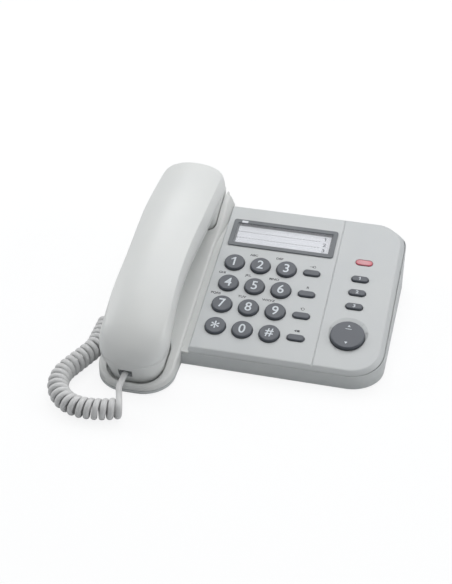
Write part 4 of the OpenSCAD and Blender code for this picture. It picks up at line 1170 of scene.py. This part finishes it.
def handset_face():
    """The half that faces the user: the bar's underside with both cups."""
    face = handset_shell("handset_face_made", -1)
    for y in SCREW_YS:
        low = parting_z(y) - FACE_H
        cut(face, disc("hole", HS_X, y, low - 2, low + SCREW_HOLE_DEPTH, SCREW_HOLE_R, 32))
    mouth = cup("mouth", *MOUTH)
    ear = cup("ear", *EAR)
    cut_all(ear, sound_holes(*EAR_HOLES))
    cut_all(mouth, sound_holes(*MOUTH_HOLES))
    cut(mouth, plug_recess())
    cut(face, plug_recess())
    for part in (face, mouth, ear):
        sheer(part, 32)
    o = joined("handset_face_made", [face, mouth, ear])
    return finish_piece(o, "handset", handset_plastic, ["handset_face"])


finish_piece(handset_shell("handset_back_made", 1), "handset", handset_plastic, ["handset_back"])
handset_face()


# ---- Pieces that keep their own shape ----

KEPT = {
    "lamp_led": window_clear, "key_board": board_green, "main_board": board_green, "keypad_mat": mat_rubber,
    "side_mat": mat_rubber, "board_screws": plain_steel, "ringer": black_plastic, "ballast": plain_steel,
    "line_jack": jack_plastic, "cord_jack": jack_plastic, "handset_jack": jack_plastic,
    "hook_switch": black_plastic, "hook_spring": spring_steel, "hook_plunger": cradle_plastic_painted_lighter,
    "volume_axle": plain_steel, "card_window": window_clear, "ear_speaker": black_plastic,
    "microphone": plain_steel, "handset_weight": plain_steel, "handset_screws": plain_steel,
    "handset_plug": plug_clear, "base_plug": plug_clear,
}
for node, material in KEPT.items():
    o = nodes[node]
    if not o.material_slots:
        o.data.materials.append(material)
    for s in o.material_slots:
        s.material = material


# ---- Floor, light and background ----

def pale_ground(name, colour, lit):
    """Pale surface: it shows its own colour to the camera and keeps part of the shadow."""
    m, tree, b = shader(name, colour, 0.9)
    out = tree.nodes["Material Output"]
    glow = tree.nodes.new("ShaderNodeEmission")
    glow.inputs["Color"].default_value = (0.995, 0.998, 1.0, 1)
    glow.inputs["Strength"].default_value = 1.075
    mix = tree.nodes.new("ShaderNodeMixShader")
    path = tree.nodes.new("ShaderNodeLightPath")
    share = tree.nodes.new("ShaderNodeMath")
    share.operation = "MULTIPLY"
    share.inputs[1].default_value = 1 - lit
    tree.links.new(path.outputs["Is Camera Ray"], share.inputs[0])
    tree.links.new(share.outputs[0], mix.inputs["Fac"])
    tree.links.new(b.outputs["BSDF"], mix.inputs[1])
    tree.links.new(glow.outputs["Emission"], mix.inputs[2])
    tree.links.new(mix.outputs["Shader"], out.inputs["Surface"])
    return m


def floor():
    deselect()
    bpy.ops.mesh.primitive_plane_add(size=14, location=(0, 0, 0))
    o = named("floor")
    o.data.materials.append(pale_ground("floor_pale", (0.72, 0.725, 0.73), 0.2))


def background(tree, colour, strength):
    b = tree.nodes.new("ShaderNodeBackground")
    b.inputs["Color"].default_value = (*colour, 1)
    b.inputs["Strength"].default_value = strength
    return b


def studio():
    """A white background for the camera, and a dimmer one that lights the telephone."""
    world = bpy.data.worlds.new("studio")
    bpy.context.scene.world = world
    world.use_nodes = True
    tree = world.node_tree
    tree.nodes.remove(tree.nodes["Background"])
    dim = background(tree, (0.96, 0.98, 1.0), 0.25)
    white = background(tree, (0.985, 0.99, 1.0), 1.0)
    mix = tree.nodes.new("ShaderNodeMixShader")
    path = tree.nodes.new("ShaderNodeLightPath")
    tree.links.new(path.outputs["Is Camera Ray"], mix.inputs["Fac"])
    tree.links.new(dim.outputs["Background"], mix.inputs[1])
    tree.links.new(white.outputs["Background"], mix.inputs[2])
    tree.links.new(mix.outputs["Shader"], tree.nodes["World Output"].inputs["Surface"])


def softbox(name, at, towards, size, watts):
    """A rectangular light; places and sizes are in metres."""
    deselect()
    bpy.ops.object.light_add(type="AREA", location=at)
    o = bpy.context.object
    o.name = name
    o.data.shape = "RECTANGLE"
    o.data.size, o.data.size_y = size
    o.data.energy = watts
    o.rotation_euler = (Vector(towards) - Vector(at)).to_track_quat("-Z", "Y").to_euler()


floor()
studio()
softbox("top_light", (0.10, 0.85, 1.40), (-0.02, 0, 0), (1.8, 1.3), 16.6)
softbox("left_light", (-1.5, 0.2, 0.8), (-0.05, 0, 0.03), (0.9, 0.8), 7)
softbox("right_light", (1.6, 0.0, 0.7), (0, 0, 0.03), (1.0, 0.8), 7)
softbox("front_light", (0.1, -0.32, 1.85), (-0.04, 0, 0.03), (1.2, 0.8), 5.4)

bpy.context.scene.view_settings.view_transform = "Standard"
